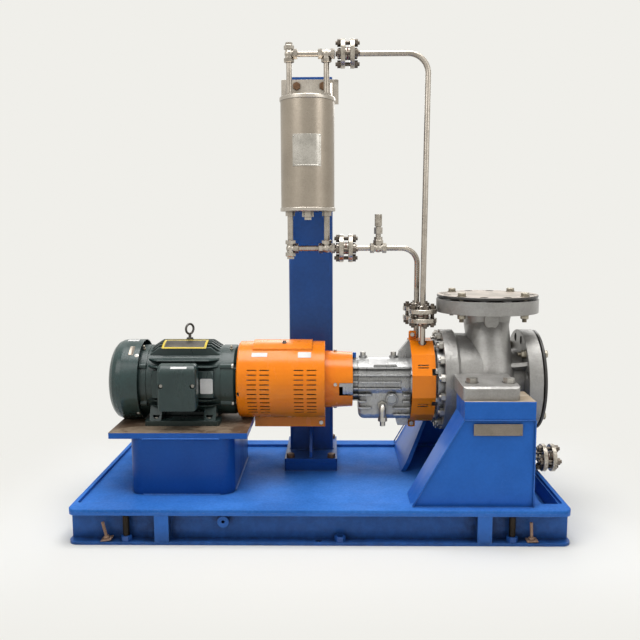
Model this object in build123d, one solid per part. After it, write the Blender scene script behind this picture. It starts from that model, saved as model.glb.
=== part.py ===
from build123d import *
import os
from math import cos, hypot, radians, sin, sqrt

# Centrifugal process pump set: pump, spacer coupling, motor, seal cooler and baseplate.
# Units are millimetres. X runs along the shaft towards the suction flange, Y away from the
# front of the set, Z up. The origin is the middle of the anchor bolts on the base's underside.

# Baseplate
BASE_LENGTH = 1535.0
BASE_WIDTH = 762.0
CHANNEL_HEIGHT = 102.0
CHANNEL_FLANGE = 40.0
CHANNEL_WEB = 6.0
CHANNEL_LIP = 9.0
PAN_THICKNESS = 8.0
RIM_THICKNESS = 10.0
RIM_WIDTH = 60.0
RIM_END = 14.0
RIM_CORNER = 30.0
CROSS_MEMBERS = 4
CROSS_THICKNESS = 8.0
ANCHOR_RADIUS = 11.0
ANCHOR_X = 650.0
ANCHOR_INSET = 18.0
STIFFENER_WIDTH = 44.0
STIFFENER_X = (-478.0, 504.0)
JACK_X = 590.0
JACK_MID_X = 66.0
JACK_RADIUS = 10.0
JACK_NUT_FLATS = 30.0
JACK_NUT_HEIGHT = 16.0
BOSS_X = -292.0
BOSS_RADIUS = 18.0
BOSS_LENGTH = 22.0
BOSS_BORE = 5.0
TROUGH_WIDTH = 64.0
TROUGH_LENGTH = 640.0
TROUGH_DEPTH = 60.0
TROUGH_WALL = 5.0

# Shaft line
SHAFT_Z = 440.0

# Motor and its pedestal
MOTOR_SHAFT_HEIGHT = 133.35
MOTOR_FACE_X = -270.0
MOTOR_RADIUS = 139.0
MOTOR_CORE = 118.0
BELL_RADIUS = 120.0
MOTOR_PLATE_THICKNESS = 19.0
MOTOR_PLATE_X = (-680.0, -231.0)
MOTOR_PLATE_HALF_WIDTH = 222.0
MOTOR_BODY_X = (-615.0, -276.0)
PEDESTAL_WALL = 10.0
PEDESTAL_BEND = 45.0
MOTOR_BOLT_X = 178.0
MOTOR_BOLT_Y = 108.0
MOTOR_MID_X = -458.0
FOOT_LENGTH = 250.0
FOOT_THICKNESS = 17.0

# Pump pedestals
PAD_X = (441.0, 655.0)
PAD_Y = (203.0, 353.0)
PAD_THICKNESS = 56.0
PAD_PROUD = 4.0
SLOPE_FOOT_X = 286.0
SLOPE_PLATE = 12.0
SLOPE_FOOT_INNER_FRONT = 209.0
SLOPE_FOOT_INNER_REAR = 20.0
PUMP_FOOT_BOLT_RADIUS = 10.0

# Column and cooler
COLUMN_X = -34.0
COLUMN_SIZE = 158.0
COLUMN_DEPTH = 102.0
COLUMN_WALL = 8.0
COLUMN_FRONT_Y = 136.0
COLUMN_TOP = 1485.0
COLUMN_PLATE_WIDTH = 186.0
COLUMN_PLATE_Y = (24.0, 318.0)
COLUMN_PLATE_THICKNESS = 14.0
COLUMN_PAD = 30.0
COOLER_X = -39.0
COOLER_Y = 5.0
COOLER_RADIUS = 90.0
COOLER_WALL = 3.5
COOLER_BOTTOM = 1016.0
COOLER_TOP = 1391.0
COOLER_HEAD = 13.0
COOLER_HEAD_PROUD = 3.0
COIL_RADIUS = 6.5
COIL_CLEAR = 34.0
COIL_TURNS = 5
BRACKET_WIDTH = 200.0
BRACKET_HEIGHT = 70.0
BRACKET_PLATE = 6.0
RISER_X = (-99.0, 25.0)

# Seal lines
TUBE_RADIUS = 19.05 / 2
TUBE_BORE = 7.4
TOP_LINE_Z = 1533.0
LOW_LINE_Z = 892.0
LINE_FLANGE_RADIUS = 95.25 / 2
LINE_FLANGE_THICKNESS = 15.0
LINE_BOLT_CIRCLE = 66.7
LINE_GASKET = 4.0
LINE_STUD_RADIUS = 6.3
LINE_NUT_FLATS = 22.0
LINE_NUT_HEIGHT = 11.0
TOP_FLANGE_X = 95.0
LOW_FLANGE_X = 90.0
LINE_TEE_X = 200.0
GLAND_FLANGE_Z = 666.0
GLAND_FRONT = (348.0, -46.0)
GLAND_REAR = (338.0, 52.0)
TOP_BEND = 66.0
LOW_BEND = 58.0

# Pump
NOZZLE_RADIUS = 343.0 / 2
NOZZLE_THICKNESS = 47.8
NOZZLE_BORE = 77.0
NOZZLE_BOLT_CIRCLE = 292.1
NOZZLE_BOLTS = 12
NOZZLE_BOLT_RADIUS = 14.3
RAISED_FACE_RADIUS = 215.9 / 2
RAISED_FACE = 3.0
NOZZLE_GASKET = 2.0
COVER_DISC = 9.0
DISCHARGE_X = 572.0
DISCHARGE_HEIGHT = 284.0
SUCTION_X = 730.0
NECK_TOP_RADIUS = 79.0
NECK_BOTTOM_RADIUS = 70.0
CASING_JOINT_X = 430.0
CASING_FLANGE = 24.0
COVER_FLANGE = 18.0
CASING_FLANGE_RADIUS = 172.0
CASING_BODY_RADIUS = 156.0
CASING_END_X = 640.0
CASING_BORE = 138.0
CASING_STUD_CIRCLE = 312.0
CASING_STUDS = 16
CASING_STUD_RADIUS = 8.0
IMPELLER_RADIUS = 118.0
IMPELLER_X = (492.0, 552.0)
VANES = 6
EYE_RADIUS = 62.0
WEAR_RING_WALL = 7.0
WEAR_GAP = 0.4

# Shaft, seal and bearings
SHAFT_END_X = -12.0
SHAFT_NOSE_X = 586.0
SEAL_SHAFT_RADIUS = 26.0
BEARING_SHAFT_RADIUS = 25.0
HUB_SHAFT_RADIUS = 21.0
IMPELLER_SHAFT_RADIUS = 19.0
RUNNING_GAP = 0.05
SEAT_GAP = 0.3
FRAME_END_X = 131.0
FRAME_RADIUS = 77.0
FRAME_WALL = 10.0
FRAME_BORE = 55.0
FRAME_FACE_X = 308.0
ADAPTER_RADIUS = 138.0
ADAPTER_X = (392.0, 412.0)
SUMP_DEPTH = 127.0
SUMP_HALF_WIDTH = 68.0
FIN_HEIGHT = 13.0
FIN_THICKNESS = 5.0
THRUST_X = (142.0, 182.0)
RADIAL_X = (272.0, 299.0)
BALLS = 10

# Coupling and guards
MOTOR_SHAFT_RADIUS = 17.5
MOTOR_SHAFT_LENGTH = 82.0
HUB_RADIUS = 36.0
HUB_FLANGE_RADIUS = 58.0
HUB_LENGTH = 58.0
DISC_PACK = 9.0
SPACER_RADIUS = 36.0
GUARD_X = (-277.0, 18.0)
GUARD_RADIUS = 132.0
GUARD_WALL = 2.0
SLOT_PITCH_DEG = 7.05
SLOT_ROWS = 11
SLOT_WIDTH = 3.4
SLOT_LENGTH = 32.0
SLOT_COLUMNS = (-225.0, -182.5, -69.0, -26.0)
SLEEVE_X = (18.0, 112.0)
SLEEVE_RADIUS = (99.0, 94.0)
SHAFT_GUARD_X = (306.0, 384.0)
SHAFT_GUARD_APOTHEM = 139.0

RIM_TOP = CHANNEL_HEIGHT + RIM_THICKNESS
PAN_TOP = CHANNEL_HEIGHT
MOTOR_BASE_Z = SHAFT_Z - MOTOR_SHAFT_HEIGHT
SHAFT_AXIS = Axis((0, 0, SHAFT_Z), (1, 0, 0))
LEFT, RIGHT = (-1, 0, 0), (1, 0, 0)
UP, DOWN = (0, 0, 1), (0, 0, -1)


def box(x, y, z):
    """A box between two limits on each axis."""
    size = (abs(x[1] - x[0]), abs(y[1] - y[0]), abs(z[1] - z[0]))
    middle = ((x[0] + x[1]) / 2, (y[0] + y[1]) / 2, (z[0] + z[1]) / 2)
    return Pos(*middle) * Box(*size)


def rod(start, direction, length, radius):
    """A round bar from a point, along a direction."""
    plane = Plane(origin=start, z_dir=direction)
    return extrude(plane * Circle(radius), amount=length)


def ring(start, direction, length, outer, inner):
    """A tube or washer from a point, along a direction."""
    plane = Plane(origin=start, z_dir=direction)
    return extrude(plane * (Circle(outer) - Circle(inner)), amount=length)


def hexagon(start, direction, length, flats, bore=0.0):
    """A hexagonal nut, head or plug from a point, along a direction."""
    plane = Plane(origin=start, z_dir=direction)
    outline = RegularPolygon(flats / 2, 6, major_radius=False)
    if bore:
        outline -= Circle(bore)
    return extrude(plane * outline, amount=length)


def turned(points):
    """A solid turned about the shaft line from (x, radius) points."""
    outline = [(x, 0, SHAFT_Z + r) for x, r in points]
    return revolve(make_face(Polyline(*outline, close=True)), SHAFT_AXIS)


def on_shaft(x, radius, angle):
    """A point at a radius and an angle round the shaft; 0 is towards the rear, 90 is up."""
    return (x, radius * cos(radians(angle)), SHAFT_Z + radius * sin(radians(angle)))


def bolt_ring(count, first=0.0):
    """The angles of an even ring of bolts."""
    return [first + 360.0 * i / count for i in range(count)]


def save(node, *solids):
    """Write one named piece, or one group of separate solids, to its own file."""
    parts = []
    for item in solids:
        parts += item.solids() if hasattr(item, "solids") else list(item)
    export_step(parts[0] if len(parts) == 1 else Compound(children=parts), f"parts/{node}.step")


def build_base_frame():
    """Front and rear channels, end plates, cross members, stiffeners and the earthing boss."""
    half = BASE_WIDTH / 2
    web_y = half - CHANNEL_FLANGE
    frame = []
    for side in (-1, 1):
        web = box((-BASE_LENGTH / 2 + 4, BASE_LENGTH / 2 - 4), (side * web_y, side * (web_y - CHANNEL_WEB)),
                  (0, CHANNEL_HEIGHT))
        frame.append(web)
        for low in (0, CHANNEL_HEIGHT - CHANNEL_LIP):
            flange = box((-BASE_LENGTH / 2, BASE_LENGTH / 2), (side * (web_y - CHANNEL_WEB), side * half),
                         (low, low + CHANNEL_LIP))
            corners = flange.edges().filter_by(Axis.Z).group_by(Axis.Y)[0 if side < 0 else -1]
            flange = fillet(corners, RIM_CORNER)
            frame.append(flange)
        for x in STIFFENER_X:
            frame.append(box((x - STIFFENER_WIDTH / 2, x + STIFFENER_WIDTH / 2),
                             (side * web_y, side * (half - 1)),
                             (CHANNEL_LIP, CHANNEL_HEIGHT - CHANNEL_LIP)))
    inner = web_y - CHANNEL_WEB
    for i in range(CROSS_MEMBERS):
        x = -BASE_LENGTH / 2 + 4 + (BASE_LENGTH - 8 - CROSS_THICKNESS) * i / (CROSS_MEMBERS - 1)
        frame.append(box((x, x + CROSS_THICKNESS), (-inner, inner), (0, CHANNEL_HEIGHT - PAN_THICKNESS)))
    frame.append(rod((BOSS_X, -web_y, CHANNEL_HEIGHT * 0.66), (0, -1, 0), BOSS_LENGTH, BOSS_RADIUS))
    body = frame[0].fuse(*frame[1:])
    holes = []
    for side in (-1, 1):
        for x in (-ANCHOR_X, 0, ANCHOR_X):
            holes.append(rod((x, side * (half - ANCHOR_INSET), -1), (0, 0, 1), CHANNEL_LIP + 2,
                             ANCHOR_RADIUS))
        for x in (-JACK_X, JACK_MID_X, JACK_X):
            holes.append(rod((x, side * (half - ANCHOR_INSET), -1), (0, 0, 1), CHANNEL_LIP + 2,
                             JACK_RADIUS + SEAT_GAP))
    holes.append(rod((BOSS_X, -web_y - BOSS_LENGTH - 1, CHANNEL_HEIGHT * 0.66), (0, 1, 0), BOSS_LENGTH * 0.8,
                     BOSS_BORE))
    trough = trough_block(0.0)
    return body.cut(*holes, trough)


def trough_block(wall):
    """The space of the drain trough, larger by nothing or smaller by its wall."""
    x1 = BASE_LENGTH / 2 - RIM_END
    return box((x1 - TROUGH_WIDTH + wall, x1 - wall), (-TROUGH_LENGTH / 2 + wall, TROUGH_LENGTH / 2 - wall),
               (CHANNEL_HEIGHT - TROUGH_DEPTH + wall, CHANNEL_HEIGHT + (RIM_THICKNESS if wall else 0)))


def build_deck():
    """The drain pan with its raised rim and the trough at the pump end."""
    half = BASE_WIDTH / 2
    inner = half - CHANNEL_FLANGE - CHANNEL_WEB
    pan = box((-BASE_LENGTH / 2 + 4, BASE_LENGTH / 2 - 4), (-inner, inner),
              (CHANNEL_HEIGHT - PAN_THICKNESS, CHANNEL_HEIGHT))
    rim = box((-BASE_LENGTH / 2, BASE_LENGTH / 2), (-half, half), (CHANNEL_HEIGHT, RIM_TOP))
    rim = fillet(rim.edges().filter_by(Axis.Z), RIM_CORNER)
    opening = box((-BASE_LENGTH / 2 + RIM_END, BASE_LENGTH / 2 - RIM_END),
                  (-half + RIM_WIDTH, half - RIM_WIDTH),
                  (CHANNEL_HEIGHT, RIM_TOP))
    rim -= fillet(opening.edges().filter_by(Axis.Z), 10)
    rim = chamfer(rim.faces().filter_by(Axis.Z).sort_by(Axis.Z)[-1].outer_wire().edges(), 2)
    deck = pan.fuse(rim).cut(trough_block(0.0)).fuse(trough_block(0.0) - trough_block(TROUGH_WALL))
    drain = rod((BASE_LENGTH / 2 - RIM_END - TROUGH_WIDTH / 2, 0, 0), (0, 0, 1), CHANNEL_HEIGHT, 20)
    return deck.cut(drain)


def build_jackscrews():
    """Levelling screws through nuts on the lower flange; the two middle nuts stand empty."""
    screws, nuts = [], []
    for side in (-1, 1):
        y = side * (BASE_WIDTH / 2 - ANCHOR_INSET)
        for x in (-JACK_X, JACK_MID_X, JACK_X):
            nuts.append(hexagon((x, y, CHANNEL_LIP), UP, JACK_NUT_HEIGHT, JACK_NUT_FLATS,
                                JACK_RADIUS + RUNNING_GAP))
            if x != JACK_MID_X:
                screw = rod((x, y, 1), (0, 0, 1), CHANNEL_HEIGHT - CHANNEL_LIP - 4, JACK_RADIUS)
                screws.append(chamfer(screw.edges().filter_by(GeomType.CIRCLE), 1.5))
    return screws, nuts


def build_motor_pedestal():
    """A bent plate skirt, open below, with a window in its end."""
    x0, x1 = MOTOR_BODY_X
    y0 = MOTOR_PLATE_HALF_WIDTH
    top = MOTOR_BASE_Z - MOTOR_PLATE_THICKNESS
    skirt = box((x0, x1), (-y0, y0), (PAN_TOP, top))
    skirt = fillet(skirt.edges().filter_by(Axis.Z), PEDESTAL_BEND)
    hollow = box((x0 + PEDESTAL_WALL, x1 - PEDESTAL_WALL), (-y0 + PEDESTAL_WALL, y0 - PEDESTAL_WALL),
                 (PAN_TOP, top))
    skirt -= fillet(hollow.edges().filter_by(Axis.Z), PEDESTAL_BEND - PEDESTAL_WALL)
    window = box((x0 - PEDESTAL_WALL, x0 + 2 * PEDESTAL_WALL), (-60, 60), (PAN_TOP + 40, top - 40))
    return skirt.cut(fillet(window.edges().filter_by(Axis.X), 12))


def build_motor_plate():
    """The thick machined plate that lies on the skirt and carries the motor's feet."""
    y0 = MOTOR_PLATE_HALF_WIDTH
    top = MOTOR_BASE_Z - MOTOR_PLATE_THICKNESS
    plate = box(MOTOR_PLATE_X, (-y0, y0), (top, MOTOR_BASE_Z))
    plate = fillet(plate.edges().filter_by(Axis.Z), 4)
    holes = [rod((MOTOR_MID_X + i * MOTOR_BOLT_X / 2, j * MOTOR_BOLT_Y, top - 1), (0, 0, 1),
                 MOTOR_PLATE_THICKNESS + 2, 6.5) for i in (-1, 1) for j in (-1, 1)]
    return plate.cut(*holes)


def build_pump_pedestal(side):
    """Welded plate pedestal: a thick pad, a trapezoid outer plate and a raking, tapered end plate."""
    pad_low = SHAFT_Z - PAD_THICKNESS
    outer, inner = PAD_Y[1] - PAD_PROUD, PAD_Y[0]
    foot_inner = SLOPE_FOOT_INNER_FRONT if side < 0 else SLOPE_FOOT_INNER_REAR
    rake = [(SLOPE_FOOT_X, PAN_TOP), (PAD_X[0], pad_low), (PAD_X[1], pad_low), (PAD_X[1], PAN_TOP)]

    def extruded(points, y_near, y_far):
        face = make_face(Polyline(*[(x, side * y_near, z) for x, z in points], close=True))
        return extrude(face, amount=y_far - y_near, dir=(0, side, 0))

    solid = extruded(rake, inner, outer)
    shrink = [(SLOPE_FOOT_X + SLOPE_PLATE * 1.4, PAN_TOP), (PAD_X[0] + SLOPE_PLATE * 0.9, pad_low),
              (PAD_X[1] - SLOPE_PLATE, pad_low), (PAD_X[1] - SLOPE_PLATE, PAN_TOP)]
    body = solid - extruded(shrink, inner, outer - SLOPE_PLATE)
    wing_corners = [(SLOPE_FOOT_X, PAN_TOP), (PAD_X[0], pad_low), (PAD_X[0] + SLOPE_PLATE * 0.9, pad_low),
                    (SLOPE_FOOT_X + SLOPE_PLATE * 1.4, PAN_TOP)]
    wing = extruded(wing_corners, foot_inner - 30, inner + SLOPE_PLATE)
    keep = Polyline((0, side * foot_inner, PAN_TOP), (0, side * foot_inner, PAN_TOP + 30),
                    (0, side * inner, pad_low), (0, side * outer, pad_low), (0, side * outer, PAN_TOP),
                    close=True)
    body += wing & extrude(make_face(keep), amount=BASE_LENGTH / 2, dir=(1, 0, 0))
    if side < 0:
        body -= box((SLOPE_FOOT_X - 40, SLOPE_FOOT_X + 6), (-PAD_Y[1], -outer + 10), (PAN_TOP, PAN_TOP + 20))
    pad = box(PAD_X, (side * inner, side * PAD_Y[1]), (pad_low, SHAFT_Z))
    pad = chamfer(pad.edges().filter_by(Axis.X), 1.5)
    body += pad
    strip = box((-BASE_LENGTH / 2, BASE_LENGTH / 2),
                (side * (BASE_WIDTH / 2 - RIM_WIDTH), side * BASE_WIDTH / 2),
                (PAN_TOP - 1, RIM_TOP))
    holes = [rod((x, side * y, pad_low - 1), (0, 0, 1), PAD_THICKNESS + 2, PUMP_FOOT_BOLT_RADIUS + 1)
             for x, y in pump_foot_bolts()]
    return body.cut(strip, *holes)


def pump_foot_bolts():
    """Places of the two bolts of each pump foot."""
    return [(PAD_X[0] + 34, PAD_Y[0] + 72), (PAD_X[1] - 66, PAD_Y[0] + 72)]


def column_bolt_places():
    """Corners of the column's foot plate where its bolts stand."""
    wide = COLUMN_PLATE_WIDTH / 2 - 20
    return [(COLUMN_X + side * wide, y) for side in (-1, 1) for y in (COLUMN_PLATE_Y[0] + 22,
                                                                      COLUMN_PLATE_Y[1] - 22)]


def build_column():
    """Rectangular hollow post on a bolted foot plate, with a front and a rear gusset."""
    wide = COLUMN_PLATE_WIDTH
    plate_low = PAN_TOP + COLUMN_PAD
    top = plate_low + COLUMN_PLATE_THICKNESS
    half = COLUMN_SIZE / 2
    back = COLUMN_FRONT_Y + COLUMN_DEPTH
    post = box((COLUMN_X - half, COLUMN_X + half), (COLUMN_FRONT_Y, back), (top, COLUMN_TOP))
    post = fillet(post.edges().filter_by(Axis.Z), 12)
    hollow = box((COLUMN_X - half + COLUMN_WALL, COLUMN_X + half - COLUMN_WALL),
                 (COLUMN_FRONT_Y + COLUMN_WALL, back - COLUMN_WALL), (plate_low, COLUMN_TOP + 1))
    post -= fillet(hollow.edges().filter_by(Axis.Z), 6)
    plate = box((COLUMN_X - wide / 2, COLUMN_X + wide / 2), COLUMN_PLATE_Y, (plate_low, top))
    body = post + chamfer(plate.edges().filter_by(Axis.Z), 4)
    for y0, y1, rise in ((COLUMN_FRONT_Y, COLUMN_PLATE_Y[0] + 8, 210), (back, COLUMN_PLATE_Y[1] - 8, 150)):
        web = make_face(Polyline((COLUMN_X - 5, y0, top), (COLUMN_X - 5, y1, top),
                                 (COLUMN_X - 5, y1, top + 22),
                                 (COLUMN_X - 5, y0, top + rise), close=True))
        body += extrude(web, amount=10, dir=RIGHT)
    holes = [rod((x, y, plate_low - 1), UP, COLUMN_PLATE_THICKNESS + 2, 9) for x, y in column_bolt_places()]
    for x in bracket_bolt_x():
        holes.append(rod((x, COLUMN_FRONT_Y - 1, bracket_bolt_z()), (0, 1, 0), COLUMN_WALL + 2, 8.5))
    return body.cut(*holes)


def build_column_pad():
    """The thick pad on the drain pan under the column's foot plate."""
    wide = COLUMN_PLATE_WIDTH
    pad = box((COLUMN_X - wide / 2, COLUMN_X + wide / 2), COLUMN_PLATE_Y, (PAN_TOP, PAN_TOP + COLUMN_PAD))
    pad = chamfer(pad.edges().filter_by(Axis.Z), 4)
    holes = [rod((x, y, PAN_TOP + 6), UP, COLUMN_PAD, 9) for x, y in column_bolt_places()]
    return pad.cut(*holes)


def build_column_bolts():
    """Hexagon screws through the foot plate into the pad."""
    top = PAN_TOP + COLUMN_PAD + COLUMN_PLATE_THICKNESS
    bolts = []
    for x, y in column_bolt_places():
        bolt = hexagon((x, y, top + 3), UP, 10, 24) + rod((x, y, top), UP, 3, 15)
        bolts.append(bolt + rod((x, y, PAN_TOP + 8), UP, top - PAN_TOP - 8, 8))
    return bolts


def bracket_bolt_x():
    """The two bracket bolts, either side of the column's middle."""
    return (COLUMN_X - 46, COLUMN_X + 46)


def bracket_bolt_z():
    """Height of the bracket bolts, in the middle of the upright plate."""
    return COOLER_TOP + 14 + BRACKET_HEIGHT * 0.68


def build_bracket():
    """Bent stainless bracket: an upright against the column and a shelf over the cooler's head."""
    back = COLUMN_FRONT_Y
    low = COOLER_TOP
    x0, x1 = COLUMN_X - BRACKET_WIDTH / 2, COLUMN_X + BRACKET_WIDTH / 2
    upright = box((x0, x1), (back - BRACKET_PLATE, back), (low, low + 14 + BRACKET_HEIGHT))
    upright = fillet(upright.edges().filter_by(Axis.Y).group_by(Axis.Z)[-1], 5)
    shelf = box((x0 + 20, x1 - 20), (COOLER_Y + 42, back - BRACKET_PLATE), (low, low + BRACKET_PLATE))
    shelf = fillet(shelf.edges().filter_by(Axis.Z).group_by(Axis.Y)[0], 30)
    body = upright + shelf
    for x in (x0 + 22, x1 - 28):
        rib = make_face(Polyline((x, back - BRACKET_PLATE, low + BRACKET_PLATE),
                                 (x, COOLER_Y + 72, low + BRACKET_PLATE),
                                 (x, back - BRACKET_PLATE, low + 14 + BRACKET_HEIGHT - 12), close=True))
        body += extrude(rib, amount=6, dir=(1, 0, 0))
    for x in bracket_bolt_x():
        body -= rod((x, back - 20, bracket_bolt_z()), (0, 1, 0), 30, 8.5)
    for x in (COOLER_X - 34, COOLER_X + 34):
        body -= rod((x, COOLER_Y + 62, low - 1), (0, 0, 1), BRACKET_PLATE + 2, 5.5)
    return body


def build_bracket_bolts():
    """Two bolts with nuts into the column and two screws into the cooler's head."""
    bolts = []
    for x in bracket_bolt_x():
        face = COLUMN_FRONT_Y - BRACKET_PLATE
        z = bracket_bolt_z()
        bolt = hexagon((x, face, z), (0, -1, 0), 10, 24)
        bolts.append(bolt + rod((x, face, z), (0, 1, 0), BRACKET_PLATE + COLUMN_WALL + 14, 8))
        bolts.append(hexagon((x, COLUMN_FRONT_Y + COLUMN_WALL, z), (0, 1, 0), 12, 24, 8 + RUNNING_GAP))
    for x in (COOLER_X - 34, COOLER_X + 34):
        top = COOLER_TOP + BRACKET_PLATE
        screw = hexagon((x, COOLER_Y + 62, top), (0, 0, 1), 6, 16)
        bolts.append(screw + rod((x, COOLER_Y + 62, top), (0, 0, -1), BRACKET_PLATE + 8, 5))
    return bolts


def build_cooler():
    """Closed vessel: shell, two heads, a pair of interleaved coils and the drain plug."""
    low = COOLER_BOTTOM + COOLER_HEAD
    high = COOLER_TOP - COOLER_HEAD
    centre = (COOLER_X, COOLER_Y)
    shell = ring((*centre, low), (0, 0, 1), high - low, COOLER_RADIUS, COOLER_RADIUS - COOLER_WALL)
    heads = []
    for z, way in ((high, 1), (low, -1)):
        disc = rod((*centre, z), (0, 0, way), COOLER_HEAD, COOLER_RADIUS + COOLER_HEAD_PROUD)
        disc = fillet(disc.edges().filter_by(GeomType.CIRCLE), 2.5)
        disc += rod((*centre, z + way * 0.5), (0, 0, -way), 10, COOLER_RADIUS - COOLER_WALL - SEAT_GAP)
        for x in RISER_X:
            disc -= rod((x, COOLER_Y, z - way * 12), (0, 0, way), COOLER_HEAD + 14, TUBE_BORE)
        heads.append(disc)
    for x in (COOLER_X - 34, COOLER_X + 34):
        heads[0] -= rod((x, COOLER_Y + 62, COOLER_TOP), (0, 0, -1), 9, 5.2)
    heads[1] -= rod((*centre, COOLER_BOTTOM), (0, 0, 1), 12, 9.5)
    plug = hexagon((*centre, COOLER_BOTTOM), (0, 0, -1), 18, 34)
    plug += hexagon((*centre, COOLER_BOTTOM - 18), (0, 0, -1), 10, 20)
    plug += rod((*centre, COOLER_BOTTOM), (0, 0, 1), 11, 9.4)
    return shell, heads[0], heads[1], plug


def build_coils():
    """Two interleaved coils that join the upper ports to the lower ones."""
    low = COOLER_BOTTOM + COOLER_HEAD + COIL_CLEAR
    high = COOLER_TOP - COOLER_HEAD - COIL_CLEAR
    radius = (RISER_X[1] - RISER_X[0]) / 2
    middle = (RISER_X[0] + RISER_X[1]) / 2
    path = Pos(middle, COOLER_Y, low) * Helix((high - low) / COIL_TURNS, high - low, radius)
    section = Plane(origin=path @ 0, z_dir=path % 0) * Circle(COIL_RADIUS)
    coil = sweep(section, path=path, is_frenet=True)
    for z, way in ((low, -1), (high, 1)):
        coil += rod((middle + radius, COOLER_Y, z), (0, 0, way), COIL_CLEAR + COOLER_HEAD / 2, COIL_RADIUS)
        coil += Pos(middle + radius, COOLER_Y, z) * Sphere(COIL_RADIUS)
    return coil, coil.rotate(Axis((middle, COOLER_Y, 0), UP), 180)


def tube_tee(centre, arms, plugged=None):
    """Tee fitting with a hexagon nut on each arm; one arm may hold a plug."""
    body = Pos(*centre) * Sphere(TUBE_RADIUS * 1.6)
    bores = []
    for arm in arms:
        body += rod(centre, arm, 22, TUBE_RADIUS * 1.35)
        face = [c + 14 * d for c, d in zip(centre, arm)]
        nut = hexagon(face, arm, 14, TUBE_RADIUS * 3.1)
        body += chamfer(nut.faces().sort_by(Axis(centre, arm))[-1].edges(), 1.6)
        if arm == plugged:
            tip = [c + 28 * d for c, d in zip(centre, arm)]
            body += hexagon(tip, arm, 8, TUBE_RADIUS * 2.2)
        else:
            bores.append(rod(centre, arm, 30, TUBE_BORE))
    return body.cut(*bores)


TEE_REACH = 28.0


def build_manifold(line_z, riser_way, head_z):
    """Two tees, two risers to a head and the tube between the tees."""
    away = DOWN if riser_way > 0 else UP
    riser = UP if riser_way > 0 else DOWN
    left = tube_tee((RISER_X[0], COOLER_Y, line_z), (riser, RIGHT, away), plugged=away)
    right = tube_tee((RISER_X[1], COOLER_Y, line_z), (riser, LEFT, RIGHT))
    tubes = []
    start = line_z + riser_way * TEE_REACH
    for x in RISER_X:
        length = abs(head_z - start)
        tubes.append(ring((x, COOLER_Y, start), riser, length, TUBE_RADIUS, TUBE_BORE))
        nut = hexagon((x, COOLER_Y, head_z), (0, 0, -riser_way), 15, TUBE_RADIUS * 2.9, TUBE_RADIUS)
        tubes.append(nut)
    span = RISER_X[1] - RISER_X[0] - 2 * TEE_REACH
    tubes.append(ring((RISER_X[0] + TEE_REACH, COOLER_Y, line_z), RIGHT, span, TUBE_RADIUS, TUBE_BORE))
    return (left, right), tubes


LINE_RAISED = 6.0
LINE_HUB = 11.0
LINE_REACH = LINE_GASKET / 2 + LINE_RAISED + LINE_FLANGE_THICKNESS + LINE_HUB


def line_flange_pair(centre, direction, blind=False):
    """Two socket flanges about a gasket, with four studs and eight nuts."""
    frame = Plane(origin=centre, z_dir=direction)
    flanges, studs, nuts = [], [], []
    spots = [(LINE_BOLT_CIRCLE / 2 * cos(radians(a)), LINE_BOLT_CIRCLE / 2 * sin(radians(a)))
             for a in bolt_ring(4, 8.0)]
    for way in (-1, 1):
        half = Plane(origin=centre, z_dir=[way * d for d in direction], x_dir=frame.x_dir)
        face = half.offset(LINE_GASKET / 2)
        flange = extrude(face * Circle(LINE_FLANGE_RADIUS * 0.44), amount=LINE_RAISED)
        disc = extrude(face.offset(LINE_RAISED) * Circle(LINE_FLANGE_RADIUS), amount=LINE_FLANGE_THICKNESS)
        flange += chamfer(disc.edges().filter_by(GeomType.CIRCLE), 1.2)
        back = face.offset(LINE_RAISED + LINE_FLANGE_THICKNESS)
        if not (blind and way > 0):
            hub = extrude(back * Circle(TUBE_RADIUS * 1.9), amount=LINE_HUB)
            flange += chamfer(hub.faces().sort_by(Axis(centre, half.z_dir))[-1].edges(), 3)
            flange -= extrude(half * Circle(TUBE_BORE), amount=LINE_REACH + 1)
        for x, y in spots:
            flange -= extrude(half * Pos(x, way * y) * Circle(LINE_STUD_RADIUS + 1), amount=LINE_REACH)
            nut_face = back * Pos(x, way * y)
            outline = RegularPolygon(LINE_NUT_FLATS / 2, 6,
                                     major_radius=False) - Circle(LINE_STUD_RADIUS + RUNNING_GAP)
            nuts.append(extrude(nut_face * outline, amount=LINE_NUT_HEIGHT))
        flanges.append(flange)
    reach = LINE_GASKET / 2 + LINE_RAISED + LINE_FLANGE_THICKNESS + LINE_NUT_HEIGHT + 6
    for x, y in spots:
        stud = extrude(frame.offset(-reach) * Pos(x, y) * Circle(LINE_STUD_RADIUS), amount=2 * reach)
        studs.append(stud)
    gasket = extrude(frame.offset(-LINE_GASKET / 2)
                     * (Circle(LINE_FLANGE_RADIUS * 0.42) - Circle(TUBE_BORE + 1)),
                     amount=LINE_GASKET)
    return flanges, gasket, studs, nuts


def bent_tube(points, radius):
    """A hollow tube along straight runs joined by arcs."""
    path = FilletPolyline(*points, radius=radius)
    section = Plane(origin=path @ 0, z_dir=path % 0) * (Circle(TUBE_RADIUS) - Circle(TUBE_BORE))
    return sweep(section, path=path)


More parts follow.
